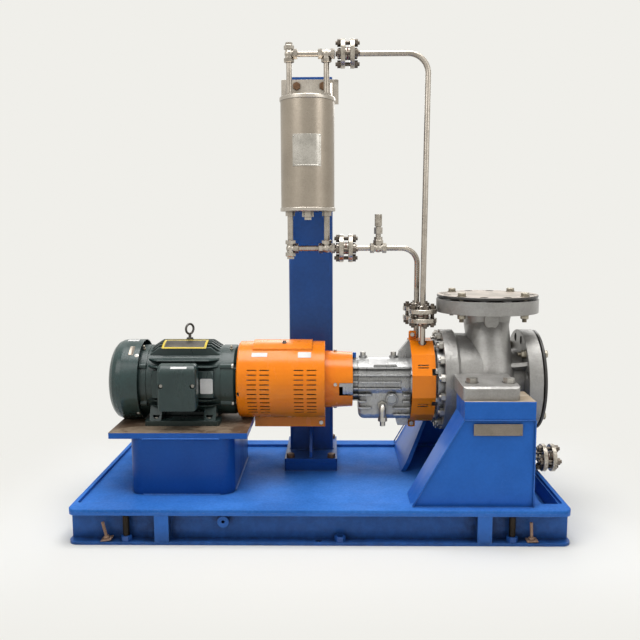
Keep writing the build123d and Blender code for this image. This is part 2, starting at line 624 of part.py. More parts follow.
def build_lines():
    """The bent tubes between the cooler and the seal gland, and the tee with its vent valve."""
    top = bent_tube([(TOP_FLANGE_X + LINE_REACH, COOLER_Y, TOP_LINE_Z),
                     (GLAND_FRONT[0] + 15, COOLER_Y, TOP_LINE_Z),
                     (*GLAND_FRONT, GLAND_FLANGE_Z + LINE_REACH + 60),
                     (*GLAND_FRONT, GLAND_FLANGE_Z + LINE_REACH)], TOP_BEND)
    tee = tube_tee((LINE_TEE_X, COOLER_Y, LOW_LINE_Z), (LEFT, RIGHT, UP))
    near = ring((LOW_FLANGE_X + LINE_REACH, COOLER_Y, LOW_LINE_Z), RIGHT,
                LINE_TEE_X - TEE_REACH - LOW_FLANGE_X - LINE_REACH, TUBE_RADIUS, TUBE_BORE)
    far = bent_tube([(LINE_TEE_X + TEE_REACH, COOLER_Y, LOW_LINE_Z),
                     (GLAND_REAR[0] - 5, COOLER_Y, LOW_LINE_Z),
                     (*GLAND_REAR, GLAND_FLANGE_Z + LINE_REACH + 50),
                     (*GLAND_REAR, GLAND_FLANGE_Z + LINE_REACH)], LOW_BEND)
    base = LOW_LINE_Z + TEE_REACH
    place = (LINE_TEE_X, COOLER_Y)
    valve = hexagon((*place, base), UP, 10, 25)
    valve += rod((*place, base + 10), UP, 12, 9)
    valve += hexagon((*place, base + 20), UP, 22, 25)
    valve += rod((*place, base + 42), UP, 6, 9.5)
    grip = rod((*place, base + 46), UP, 40, 12.5)
    flutes = [rod((place[0] + 13.5 * cos(radians(a)), place[1] + 13.5 * sin(radians(a)), base + 48), UP, 34,
                  2.2)
              for a in bolt_ring(12)]
    valve += grip.cut(*flutes)
    valve -= rod((*place, base + 74), UP, 20, 6)
    return top, near, far, tee, valve


def build_gland_stubs(gland_rim):
    """Straight stubs from the gland's ports up to the flange pairs above the shaft guard."""
    stubs = []
    for x, y in (GLAND_FRONT, GLAND_REAR):
        low = SHAFT_Z + sqrt(gland_rim ** 2 - y ** 2) - 14
        high = GLAND_FLANGE_Z - LINE_REACH
        stubs.append(ring((x, y, low), UP, high - low, TUBE_RADIUS, TUBE_BORE))
    return stubs


GLAND_X = (326.0, 364.0)
GLAND_SCREW_CIRCLE = 120.0
GLAND_SCREW_FIRST = 85.0
GLAND_RADIUS = 74.0
GLAND_BORE = 34.0
CHAMBER_BORE = 48.0
CHAMBER_RADIUS = 72.0
THROAT_X = (462.0, 478.0)
SPIGOT = 40.0
SEAL_FACE_X = 352.0
SEAL_FACE_GAP = 0.1
CASING_WALL_X = (566.0, 590.0)
VOLUTE_BORE = 134.0
DISCHARGE_BORE = 62.0
SUCTION_NECK_RADIUS = 104.0
DRAIN_Z = 160.0
DRAIN_X = 604.0
DRAIN_FLANGE_X = 795.0
FOOT_TOP = 42.0
TRUNK_TOP_Z = 640.0
TRUNK_FOOT = (-88.0, 472.0)
TRUNK_RADIUS = 74.0
TRUNK_BORE = 38.0
NECK_BOSS_RADIUS = 24.0
SUCTION_RIBS = (60, 120, 240, 300)
FOOT_X = (437.0, 612.0)
FOOT_Y = 338.0


def nozzle_bolt_places():
    """Places of the flange holes about the nozzle's axis; they straddle the centre lines."""
    radius = NOZZLE_BOLT_CIRCLE / 2
    return [(radius * cos(radians(a)), radius * sin(radians(a))) for a in bolt_ring(NOZZLE_BOLTS, 15)]


def build_casing():
    """Radially split casing: flanged body, suction and discharge nozzles, feet and drain boss."""
    outer = turned([(CASING_JOINT_X, 0), (CASING_JOINT_X, CASING_FLANGE_RADIUS),
                    (CASING_JOINT_X + CASING_FLANGE, CASING_FLANGE_RADIUS),
                    (CASING_JOINT_X + CASING_FLANGE + 10, CASING_BODY_RADIUS + 4), (598, CASING_BODY_RADIUS),
                    (626, 138), (CASING_END_X, SUCTION_NECK_RADIUS),
                    (SUCTION_X - NOZZLE_THICKNESS, SUCTION_NECK_RADIUS),
                    (SUCTION_X - NOZZLE_THICKNESS, NOZZLE_RADIUS), (SUCTION_X - RAISED_FACE, NOZZLE_RADIUS),
                    (SUCTION_X - RAISED_FACE, RAISED_FACE_RADIUS), (SUCTION_X, RAISED_FACE_RADIUS),
                    (SUCTION_X, 0)])
    top = SHAFT_Z + DISCHARGE_HEIGHT
    neck_profile = [(0, 0), (NECK_BOTTOM_RADIUS + 14, 0), (NECK_BOTTOM_RADIUS + 4, 110),
                    (NECK_BOTTOM_RADIUS, 150),
                    (NECK_TOP_RADIUS, DISCHARGE_HEIGHT - NOZZLE_THICKNESS - 26),
                    (NECK_TOP_RADIUS + 5, DISCHARGE_HEIGHT - NOZZLE_THICKNESS),
                    (NOZZLE_RADIUS, DISCHARGE_HEIGHT - NOZZLE_THICKNESS),
                    (NOZZLE_RADIUS, DISCHARGE_HEIGHT - RAISED_FACE),
                    (RAISED_FACE_RADIUS, DISCHARGE_HEIGHT - RAISED_FACE),
                    (RAISED_FACE_RADIUS, DISCHARGE_HEIGHT), (0, DISCHARGE_HEIGHT)]
    outline = [(DISCHARGE_X + r, 0, SHAFT_Z + h) for r, h in neck_profile]
    neck = revolve(make_face(Polyline(*outline, close=True)), Axis((DISCHARGE_X, 0, 0), (0, 0, 1)))
    body = outer + neck
    boss_z = top - NOZZLE_THICKNESS - 26
    body += rod((DISCHARGE_X, 0, boss_z), (0, -1, 0), NECK_TOP_RADIUS + 9, NECK_BOSS_RADIUS)
    body += box((DISCHARGE_X - NECK_BOSS_RADIUS, DISCHARGE_X + NECK_BOSS_RADIUS), (-NECK_TOP_RADIUS - 9, 0),
                (boss_z, top - NOZZLE_THICKNESS))
    reach = hypot(TRUNK_FOOT[0], TRUNK_TOP_Z - TRUNK_FOOT[1])
    body += rod((DISCHARGE_X, 0, TRUNK_TOP_Z), (0, TRUNK_FOOT[0], TRUNK_FOOT[1] - TRUNK_TOP_Z), reach,
                TRUNK_RADIUS)
    body += Pos(DISCHARGE_X, TRUNK_FOOT[0], TRUNK_FOOT[1]) * Sphere(TRUNK_RADIUS)
    for side in (-1, 1):
        points = [(140, 0), (FOOT_Y, 0), (FOOT_Y, FOOT_TOP - 6), (FOOT_Y - 8, FOOT_TOP), (250, FOOT_TOP + 3),
                  (165, FOOT_TOP + 6), (120, FOOT_TOP + 8)]
        face = make_face(Polyline(*[(FOOT_X[0], side * y, SHAFT_Z + z) for y, z in points], close=True))
        foot = extrude(face, amount=FOOT_X[1] - FOOT_X[0], dir=(1, 0, 0))
        corners = foot.edges().filter_by(Axis.Z).group_by(Axis.Y)[0 if side < 0 else -1]
        body += fillet(corners, 16)
    rib_base = SUCTION_X - NOZZLE_THICKNESS
    for angle in SUCTION_RIBS:
        rib = make_face(Polyline((CASING_END_X - 14, 0, SHAFT_Z + 90), (CASING_END_X - 20, 0, SHAFT_Z + 132),
                                 (rib_base, 0, SHAFT_Z + 150), (rib_base, 0, SHAFT_Z + 90), close=True))
        rib = extrude(rib, amount=7, both=True)
        body += rib.rotate(SHAFT_AXIS, angle)
    body += rod((DRAIN_X, 0, SHAFT_Z - CASING_BODY_RADIUS - 16), UP, 40, 22)
    cavity = turned([(CASING_JOINT_X - 1, 0), (CASING_JOINT_X - 1, CASING_BORE),
                     (CASING_JOINT_X + SPIGOT, CASING_BORE),
                     (CASING_JOINT_X + SPIGOT, VOLUTE_BORE), (CASING_WALL_X[0], VOLUTE_BORE),
                     (CASING_WALL_X[0], EYE_RADIUS + WEAR_GAP + WEAR_RING_WALL),
                     (CASING_WALL_X[1], EYE_RADIUS + WEAR_GAP + WEAR_RING_WALL),
                     (CASING_WALL_X[1], EYE_RADIUS - 4),
                     (CASING_END_X, NOZZLE_BORE), (SUCTION_X + 1, NOZZLE_BORE), (SUCTION_X + 1, 0)])
    cuts = [cavity, rod((DISCHARGE_X - 20, 0, SHAFT_Z + 80), UP, 60, 46),
            rod((DISCHARGE_X, 0, SHAFT_Z + 130), UP, DISCHARGE_HEIGHT, DISCHARGE_BORE),
            rod((DISCHARGE_X, 0, SHAFT_Z + 170), (-24, -70, -62), 96, TRUNK_BORE),
            rod((DRAIN_X - 42, 0, SHAFT_Z - VOLUTE_BORE - 6), (1, 0, 0), 50, 7),
            rod((DRAIN_X, 0, SHAFT_Z - CASING_BODY_RADIUS - 17), UP, 36, TUBE_BORE)]
    for u, v in nozzle_bolt_places():
        cuts.append(rod((DISCHARGE_X + u, v, top - NOZZLE_THICKNESS - 1), UP, NOZZLE_THICKNESS + 2,
                        NOZZLE_BOLT_RADIUS))
        cuts.append(rod((SUCTION_X - NOZZLE_THICKNESS - 1, u, SHAFT_Z + v), RIGHT, NOZZLE_THICKNESS + 2,
                        NOZZLE_BOLT_RADIUS))
    for angle in bolt_ring(CASING_STUDS, 11.25):
        cuts.append(rod(on_shaft(CASING_JOINT_X - 1, CASING_STUD_CIRCLE / 2, angle), RIGHT, CASING_FLANGE - 2,
                        CASING_STUD_RADIUS + RUNNING_GAP))
    for x, y in pump_foot_bolts():
        for side in (-1, 1):
            cuts.append(rod((x, side * y, SHAFT_Z - 1), UP, 100, PUMP_FOOT_BOLT_RADIUS + 1))
            cuts.append(rod((x, side * y, SHAFT_Z + FOOT_TOP), UP, 60, 21))
    return body.cut(*cuts)


def build_foot_bolts():
    """Hexagon screws that hold the pump's feet on the pedestal pads."""
    bolts = []
    for x, y in pump_foot_bolts():
        for side in (-1, 1):
            seat = (x, side * y, SHAFT_Z + FOOT_TOP)
            bolt = hexagon((x, side * y, SHAFT_Z + FOOT_TOP + 3), UP, 13, 30)
            bolts.append(bolt + rod(seat, UP, 3, 18) + rod(seat, DOWN, FOOT_TOP + 46, PUMP_FOOT_BOLT_RADIUS))
    return bolts


def build_nozzle_covers():
    """Flat shipping discs over a gasket on both nozzles, with the flange's hole pattern."""
    radius = NOZZLE_RADIUS - 2
    top = SHAFT_Z + DISCHARGE_HEIGHT + NOZZLE_GASKET
    end = SUCTION_X + NOZZLE_GASKET
    upper = chamfer(rod((DISCHARGE_X, 0, top), UP, COVER_DISC, radius).edges().filter_by(GeomType.CIRCLE),
                    1.5)
    side = chamfer(rod((end, 0, SHAFT_Z), RIGHT, COVER_DISC, radius).edges().filter_by(GeomType.CIRCLE), 1.5)
    for u, v in nozzle_bolt_places():
        upper -= rod((DISCHARGE_X + u, v, top - 1), UP, COVER_DISC + 2, NOZZLE_BOLT_RADIUS)
        side -= rod((end - 1, u, SHAFT_Z + v), RIGHT, COVER_DISC + 2, NOZZLE_BOLT_RADIUS)
    face = RAISED_FACE_RADIUS + 8
    gaskets = [ring((DISCHARGE_X, 0, SHAFT_Z + DISCHARGE_HEIGHT), UP, NOZZLE_GASKET, face, DISCHARGE_BORE),
               ring((SUCTION_X, 0, SHAFT_Z), RIGHT, NOZZLE_GASKET, face, NOZZLE_BORE)]
    return (upper, side), gaskets


def build_seal_cover():
    """Casing cover with the seal chamber, its spigot and the seat of the bearing frame."""
    x0, x1 = ADAPTER_X[1], CASING_JOINT_X
    outer = turned([(GLAND_X[1], 0), (GLAND_X[1], CHAMBER_RADIUS), (x0, CHAMBER_RADIUS),
                    (x0, CASING_FLANGE_RADIUS),
                    (x1, CASING_FLANGE_RADIUS), (x1, CASING_BORE - SEAT_GAP),
                    (x1 + SPIGOT - 1, CASING_BORE - SEAT_GAP),
                    (THROAT_X[1], 60), (THROAT_X[1], 0)])
    bore = turned([(GLAND_X[1] - 1, 0), (GLAND_X[1] - 1, CHAMBER_BORE), (THROAT_X[0], CHAMBER_BORE),
                   (THROAT_X[0], SEAL_SHAFT_RADIUS + 1), (THROAT_X[1] + 1, SEAL_SHAFT_RADIUS + 1),
                   (THROAT_X[1] + 1, 0)])
    relief = turned([(x1 + 12, 96), (x1 + 12, 124), (x1 + SPIGOT, 124), (x1 + SPIGOT, 96)])
    cuts = [bore, relief]
    for angle in bolt_ring(CASING_STUDS, 11.25):
        cuts.append(rod(on_shaft(x0 - 1, CASING_STUD_CIRCLE / 2, angle), RIGHT, COVER_FLANGE + 2,
                        CASING_STUD_RADIUS + 1))
    for angle in bolt_ring(8, 22.5):
        cuts.append(rod(on_shaft(x0 - 1, 124, angle), RIGHT, 15, 6.05))
    for angle in bolt_ring(4, GLAND_SCREW_FIRST):
        cuts.append(rod(on_shaft(GLAND_X[1] - 1, GLAND_SCREW_CIRCLE / 2, angle), RIGHT, 22, 5.05))
    return outer.cut(*cuts)


def build_casing_studs():
    """Studs and nuts of the casing joint."""
    studs, nuts = [], []
    face = ADAPTER_X[1]
    for angle in bolt_ring(CASING_STUDS, 11.25):
        start = on_shaft(face - 20, CASING_STUD_CIRCLE / 2, angle)
        studs.append(rod(start, RIGHT, 20 + COVER_FLANGE + CASING_FLANGE - 4, CASING_STUD_RADIUS))
        nuts.append(hexagon(on_shaft(face - 14, CASING_STUD_CIRCLE / 2, angle), RIGHT, 14, 25,
                            CASING_STUD_RADIUS + RUNNING_GAP))
    return studs, nuts


def build_frame_bolts():
    """Screws of the bearing frame's flange, nuts and studs of the gland."""
    screws = []
    for angle in bolt_ring(8, 22.5):
        head = on_shaft(ADAPTER_X[0], 124, angle)
        screws.append(hexagon(head, LEFT, 8, 19) + rod(head, RIGHT, ADAPTER_X[1] - ADAPTER_X[0] + 12, 6))
    studs = []
    for angle in bolt_ring(4, GLAND_SCREW_FIRST):
        head = on_shaft(GLAND_X[0], GLAND_SCREW_CIRCLE / 2, angle)
        studs.append(hexagon(head, LEFT, 7, 17) + rod(head, RIGHT, GLAND_X[1] - GLAND_X[0] + 18, 5))
    return screws, studs


def build_gland():
    """Gland plate with two ports for the seal lines."""
    body = turned([(GLAND_X[0], GLAND_BORE), (GLAND_X[0], GLAND_RADIUS), (GLAND_X[1], GLAND_RADIUS),
                   (GLAND_X[1], CHAMBER_BORE - 2), (SEAL_FACE_X, CHAMBER_BORE - 2),
                   (SEAL_FACE_X, GLAND_BORE)])
    body = chamfer(body.edges().filter_by(GeomType.CIRCLE).group_by(Axis.X)[0], 2)
    cuts = []
    for x, y in (GLAND_FRONT, GLAND_REAR):
        low = SHAFT_Z + sqrt(GLAND_RADIUS ** 2 - y ** 2) - 14
        cuts.append(rod((x, y, low), UP, 40, TUBE_RADIUS))
    for angle in bolt_ring(4, GLAND_SCREW_FIRST):
        cuts.append(rod(on_shaft(GLAND_X[0] - 1, GLAND_SCREW_CIRCLE / 2, angle), RIGHT, 44, 5.5))
    return body.cut(*cuts)


def build_seal():
    """Stationary seat in the gland and the rotating seal head on the shaft."""
    seat = turned([(338, SEAL_SHAFT_RADIUS + 2), (338, GLAND_BORE - RUNNING_GAP),
                   (SEAL_FACE_X, GLAND_BORE - RUNNING_GAP),
                   (SEAL_FACE_X, SEAL_SHAFT_RADIUS + 2)])
    start = SEAL_FACE_X + SEAL_FACE_GAP
    inner = SEAL_SHAFT_RADIUS + 0.02
    head = turned([(start, inner), (start, 32), (start + 5, 32), (start + 5, 37), (start + 22, 37),
                   (start + 22, 35),
                   (start + 40, 35), (start + 40, 39), (start + 50, 39), (start + 50, inner)])
    return seat, head


def build_shaft():
    """Stepped pump shaft."""
    return turned([(SHAFT_END_X, 0), (SHAFT_END_X, HUB_SHAFT_RADIUS - 1), (SHAFT_END_X + 1, HUB_SHAFT_RADIUS),
                   (66, HUB_SHAFT_RADIUS), (66, BEARING_SHAFT_RADIUS), (THRUST_X[1], BEARING_SHAFT_RADIUS),
                   (THRUST_X[1], BEARING_SHAFT_RADIUS + 6), (RADIAL_X[0], BEARING_SHAFT_RADIUS + 6),
                   (RADIAL_X[0], BEARING_SHAFT_RADIUS), (322, BEARING_SHAFT_RADIUS), (322, SEAL_SHAFT_RADIUS),
                   (480, SEAL_SHAFT_RADIUS), (480, IMPELLER_SHAFT_RADIUS), (562, IMPELLER_SHAFT_RADIUS),
                   (562, 14), (SHAFT_NOSE_X, 14), (SHAFT_NOSE_X, 0)])


def build_impeller():
    """Closed impeller: hub, two shrouds, curved vanes and the eye ring, with its nut."""
    x0, x1 = IMPELLER_X
    body = turned([(480, 0), (480, 34), (x0, 40), (x0, IMPELLER_RADIUS), (x0 + 8, IMPELLER_RADIUS),
                   (x0 + 8, 60),
                   (x0 + 30, 36), (562, 30), (562, 0)])
    front = turned([(x1 - 20, IMPELLER_RADIUS), (x1 - 12, IMPELLER_RADIUS), (x1 + 4, EYE_RADIUS),
                    (CASING_WALL_X[1] - 4, EYE_RADIUS), (CASING_WALL_X[1] - 4, EYE_RADIUS - 8),
                    (x1 - 4, EYE_RADIUS - 8), (x1 - 16, EYE_RADIUS + 4)])
    body += front
    plane = Plane(origin=(x0 + 4, 0, SHAFT_Z), z_dir=(1, 0, 0))
    arc = Pos(64, 0) * (Circle(62) - Circle(57))
    span = Circle(IMPELLER_RADIUS - 1) - Circle(44)
    half = Pos(60, 60) * Rectangle(200, 120)
    vane = extrude(plane * (arc & span & half), amount=x1 - x0 - 16)
    for angle in bolt_ring(VANES):
        body += vane.rotate(SHAFT_AXIS, angle)
    body -= rod((470, 0, SHAFT_Z), RIGHT, 100, IMPELLER_SHAFT_RADIUS + 0.02)
    for angle in bolt_ring(VANES, 30):
        body -= rod(on_shaft(x0 - 1, 52, angle), RIGHT, 20, 4)
    nut = hexagon((562, 0, SHAFT_Z), RIGHT, 22, 48, 14.02)
    nut = chamfer(nut.faces().sort_by(Axis.X)[-1].outer_wire().edges(), 3)
    inner, outer = EYE_RADIUS + WEAR_GAP, EYE_RADIUS + WEAR_GAP + WEAR_RING_WALL
    wear = ring((CASING_WALL_X[0] + 1, 0, SHAFT_Z), RIGHT, CASING_WALL_X[1] - CASING_WALL_X[0] - 2, outer,
                inner)
    return body, nut, wear


def ball_bearing(x0, x1, bore, outer, rows):
    """Inner ring, outer ring and balls of a bearing with one or more rows."""
    pitch = (bore + outer) / 2
    ball = (outer - bore) * 0.215
    inner = ring((x0, 0, SHAFT_Z), RIGHT, x1 - x0, pitch - ball * 0.72, bore + 0.02)
    shell = ring((x0, 0, SHAFT_Z), RIGHT, x1 - x0, outer - 0.02, pitch + ball * 0.72)
    balls = []
    for row in range(rows):
        x = x0 + (x1 - x0) * (row + 0.5) / rows
        groove = Pos(x, 0, SHAFT_Z) * Rot(0, 90, 0) * Torus(pitch, ball)
        inner -= groove
        shell -= groove
        for angle in bolt_ring(BALLS):
            balls.append(Pos(*on_shaft(x, pitch, angle)) * Sphere(ball - SEAT_GAP / 2))
    return inner, shell, balls


def build_bearing_housing():
    """Cast bearing frame: barrel, oil sump, fins, ribs and the adapter with side windows."""
    x0, x1 = FRAME_END_X, FRAME_FACE_X
    body = turned([(x0, 0), (x0, FRAME_RADIUS), (x1, FRAME_RADIUS), (ADAPTER_X[0], 118),
                   (ADAPTER_X[0], ADAPTER_RADIUS),
                   (ADAPTER_X[1], ADAPTER_RADIUS), (ADAPTER_X[1], 0)])
    sump = box((x0, x1), (-SUMP_HALF_WIDTH, SUMP_HALF_WIDTH), (SHAFT_Z - SUMP_DEPTH, SHAFT_Z))
    sump = fillet(sump.edges().filter_by(Axis.X).group_by(Axis.Z)[0], 22)
    sump = fillet(sump.edges().filter_by(Axis.Y).group_by(Axis.Z)[0].group_by(Axis.X)[0], 20)
    body += sump
    for rise, start, end in FINS:
        z = SHAFT_Z + rise
        width = max(sqrt(max(FRAME_RADIUS ** 2 - rise ** 2, 0)) if rise > 0 else SUMP_HALF_WIDTH,
                    40) + FIN_HEIGHT
        width = min(width, FRAME_RADIUS + FIN_HEIGHT)
        fin = box((start, end), (-width, width), (z - FIN_THICKNESS / 2, z + FIN_THICKNESS / 2))
        body += fillet(fin.edges().filter_by(Axis.Z), 5)
    seat = SHAFT_GUARD_APOTHEM - GUARD_WALL - SEAT_GAP
    top_rib = [(266, 68), (272, 98), (304, seat), (ADAPTER_X[0] + 2, seat), (ADAPTER_X[0] + 2, 106),
               (310, 68)]
    low_rib = [(258, -SUMP_DEPTH + 4), (268, -158), (303, -158), (303, -seat), (ADAPTER_X[0] + 2, -seat),
               (ADAPTER_X[0] + 2, -106), (330, -84), (290, -84)]
    for outline, wide in ((top_rib, 12), (low_rib, 24)):
        face = make_face(Polyline(*[(x, -wide, SHAFT_Z + z) for x, z in outline], close=True))
        body += extrude(face, amount=2 * wide, dir=(0, 1, 0))
    cuts = [rod((x0 - 1, 0, SHAFT_Z), RIGHT, x1 - x0 + 2, FRAME_BORE),
            turned([(x1, 0), (x1, 64), (x1 + 7, 64), (x1 + 10, 71), (x1 + 16, GLAND_RADIUS + 4),
                    (ADAPTER_X[0] - 4, 106),
                    (ADAPTER_X[1] + 1, 106), (ADAPTER_X[1] + 1, 0)])]
    hollow = box((THRUST_X[1] + 10, RADIAL_X[0] - 10),
                 (-SUMP_HALF_WIDTH + FRAME_WALL, SUMP_HALF_WIDTH - FRAME_WALL),
                 (SHAFT_Z - SUMP_DEPTH + FRAME_WALL, SHAFT_Z))
    cuts.append(hollow)
    for side in (-1, 1):
        window = box((x1 + 14, ADAPTER_X[0] - 4), (side * 30, side * 150), (SHAFT_Z - 62, SHAFT_Z + 62))
        cuts.append(fillet(window.edges().filter_by(Axis.Y), 14))
    for x, y in (GLAND_FRONT, GLAND_REAR):
        cuts.append(rod((x, y, SHAFT_Z + 40), UP, 120, TUBE_RADIUS + 4))
    for angle in bolt_ring(8, 22.5):
        cuts.append(rod(on_shaft(ADAPTER_X[0] - 1, 124, angle), RIGHT, 40, 6.5))
        cuts.append(rod(on_shaft(ADAPTER_X[0], 124, angle), LEFT, 16, 12))
    cuts.append(rod((GLASS_X, -SUMP_HALF_WIDTH - 30, GLASS_Z), (0, 1, 0), 50, 13.05))
    cuts.append(rod((ELBOW_X, -SUMP_HALF_WIDTH - 1, ELBOW_Z), (0, 1, 0), 12, 8.05))
    body += rod((GLASS_X, -SUMP_HALF_WIDTH + 2, GLASS_Z), (0, -1, 0), 12, 20)
    for x, radius in TOP_PLUGS:
        body += rod((x, 0, SHAFT_Z + FRAME_RADIUS - 6), UP, 12, radius + 6)
        cuts.append(rod((x, 0, SHAFT_Z + FRAME_RADIUS - 12), UP, 20, radius * 0.7))
    for angle in bolt_ring(6, END_SCREW_FIRST):
        cuts.append(rod(on_shaft(x0 - 1, 65, angle), RIGHT, 16, 4.05))
    pad = box((184, 262), (-58, 58), (SHAFT_Z + 44, SHAFT_Z + 60))
    body += fillet(pad.edges().filter_by(Axis.Y), 3)
    return body.cut(*cuts)


FINS = [(50, FRAME_END_X, FRAME_FACE_X), (28, FRAME_END_X, FRAME_FACE_X), (5, FRAME_END_X, 276.0),
        (-18, FRAME_END_X, 276.0), (-40, FRAME_END_X, 176.0), (-63, FRAME_END_X, 158.0),
        (-85, FRAME_END_X, 176.0),
        (-41, 280.0, FRAME_FACE_X), (-63, 280.0, FRAME_FACE_X), (-86, 248.0, FRAME_FACE_X),
        (-108, 248.0, FRAME_FACE_X)]
GLASS_X, GLASS_Z = 244.0, 385.0
ELBOW_X, ELBOW_Z = 212.0, 362.0
TOP_PLUGS = [(149.0, 8.0), (254.0, 8.0)]
CAP_X = 119.5
CAP_RADIUS = 6.0
END_COVER_RADIUS = 73.0
END_SCREW_FIRST = 52.0


def build_frame_fittings():
    """Sight glass, oil drain elbow with its plug, top plugs and the breather cap."""
    y = -SUMP_HALF_WIDTH - 10
    glass = rod((GLASS_X, y, GLASS_Z), (0, -1, 0), 5, 16) + rod((GLASS_X, y, GLASS_Z), (0, 1, 0), 14, 13)
    glass = chamfer(glass.faces().sort_by(Axis.Y)[0].edges(), 2)
    y = -SUMP_HALF_WIDTH
    collar = hexagon((ELBOW_X, y, ELBOW_Z), (0, -1, 0), 8, 28) + rod((ELBOW_X, y, ELBOW_Z), (0, 1, 0), 10, 8)
    path = FilletPolyline((ELBOW_X, y - 6, ELBOW_Z), (ELBOW_X, y - 26, ELBOW_Z),
                          (ELBOW_X, y - 26, ELBOW_Z - 44),
                          radius=16)
    arm = sweep(Plane(origin=path @ 0, z_dir=path % 0) * Circle(11.5), path=path)
    elbow = collar + arm + hexagon((ELBOW_X, y - 26, ELBOW_Z - 34), DOWN, 14, 27)
    plug = hexagon((ELBOW_X, y - 26, ELBOW_Z - 48), DOWN, 16, 16)
    tops = []
    for x, radius in TOP_PLUGS:
        seat = SHAFT_Z + FRAME_RADIUS + 6
        tops.append(hexagon((x, 0, seat), UP, 12, 2 * radius) + rod((x, 0, seat), DOWN, 10,
                                                                    radius * 0.7 - 0.05))
    seat = SHAFT_Z + END_COVER_RADIUS + 3
    cap = rod((CAP_X, 0, seat), UP, 17, CAP_RADIUS)
    cap = fillet(cap.faces().sort_by(Axis.Z)[-1].edges(), 1.5) + rod((CAP_X, 0, seat), DOWN, 9,
                                                                     CAP_RADIUS / 2)
    return glass, elbow, plug, tops, cap


def build_end_cover():
    """Bearing end cover with its screws, and the plate that carries the guard's sleeve."""
    cover = turned([(78, BEARING_SHAFT_RADIUS + 0.6), (78, 44), (112, 50), (112, END_COVER_RADIUS),
                    (FRAME_END_X, END_COVER_RADIUS),
                    (FRAME_END_X, FRAME_BORE - 0.1), (THRUST_X[0], FRAME_BORE - 0.1), (THRUST_X[0], 47),
                    (THRUST_X[0] - 4, 47), (THRUST_X[0] - 4, BEARING_SHAFT_RADIUS + 0.6)])
    for rise, _, _ in FINS[:6]:
        half = min(sqrt(END_COVER_RADIUS ** 2 - rise ** 2) + FIN_HEIGHT, END_COVER_RADIUS + 8)
        fin = box((113, FRAME_END_X), (-half, half), (SHAFT_Z + rise - 2.5, SHAFT_Z + rise + 2.5))
        cover += fin - rod((112, 0, SHAFT_Z), RIGHT, 20, END_COVER_RADIUS - 4)
    cover += rod((CAP_X, 0, SHAFT_Z + END_COVER_RADIUS - 4), UP, 7, CAP_RADIUS + 0.8)
    cover -= rod((CAP_X, 0, SHAFT_Z + END_COVER_RADIUS - 7), UP, 12, CAP_RADIUS / 2 + RUNNING_GAP)
    plate = turned([(104, 52), (104, 92), (112, 92), (112, 52)])
    for angle in SLEEVE_SCREWS:
        finger = box((SLEEVE_SCREW_X - 9, 105), (78, 96), (-9, 9))
        plate += (Pos(0, 0, SHAFT_Z) * finger).rotate(SHAFT_AXIS, angle)
    lug = box((78, 104), (-93, -60), (SHAFT_Z - 36, SHAFT_Z - 4))
    plate += fillet(lug.edges().filter_by(Axis.Y), 3)
    screws = []
    for angle in bolt_ring(6, END_SCREW_FIRST):
        cover -= rod(on_shaft(100, 65, angle), RIGHT, 40, 4.2)
        plate -= rod(on_shaft(100, 65, angle), RIGHT, 40, 4.2)
        head = on_shaft(104, 65, angle)
        screws.append(hexagon(head, LEFT, 6, 13) + rod(head, RIGHT, 40, 4))
    plate &= turned([(40, 0), (40, sleeve_radius(40) - GUARD_WALL - SEAT_GAP),
                     (112, sleeve_radius(112) - GUARD_WALL - SEAT_GAP), (112, 0)])
    for angle in SLEEVE_SCREWS:
        plate -= rod(on_shaft(SLEEVE_SCREW_X, 70, angle), on_axis_direction(angle), 30, 3 + RUNNING_GAP)
    inner_cover = turned([(FRAME_FACE_X, BEARING_SHAFT_RADIUS + 1.5), (FRAME_FACE_X, 63.9),
                          (FRAME_FACE_X + 7, 60),
                          (FRAME_FACE_X + 7, BEARING_SHAFT_RADIUS + 1.5)])
    inner_cover += turned([(RADIAL_X[1], 47), (RADIAL_X[1], FRAME_BORE - 0.1),
                           (FRAME_FACE_X, FRAME_BORE - 0.1),
                           (FRAME_FACE_X, 47)])
    return cover, plate, screws, inner_cover


def sleeve_radius(x):
    """Outer radius of the tapering sleeve at a place along the shaft."""
    share = (x - SLEEVE_X[0]) / (SLEEVE_X[1] - SLEEVE_X[0])
    return SLEEVE_RADIUS[0] + (SLEEVE_RADIUS[1] - SLEEVE_RADIUS[0]) * share


MOTOR_SHAFT_END_X = MOTOR_FACE_X + MOTOR_SHAFT_LENGTH
SPACER_X = (MOTOR_SHAFT_END_X + DISC_PACK, SHAFT_END_X - DISC_PACK)


SKIRT_START = -228.0
SKIRT_BOTTOM = 271.0


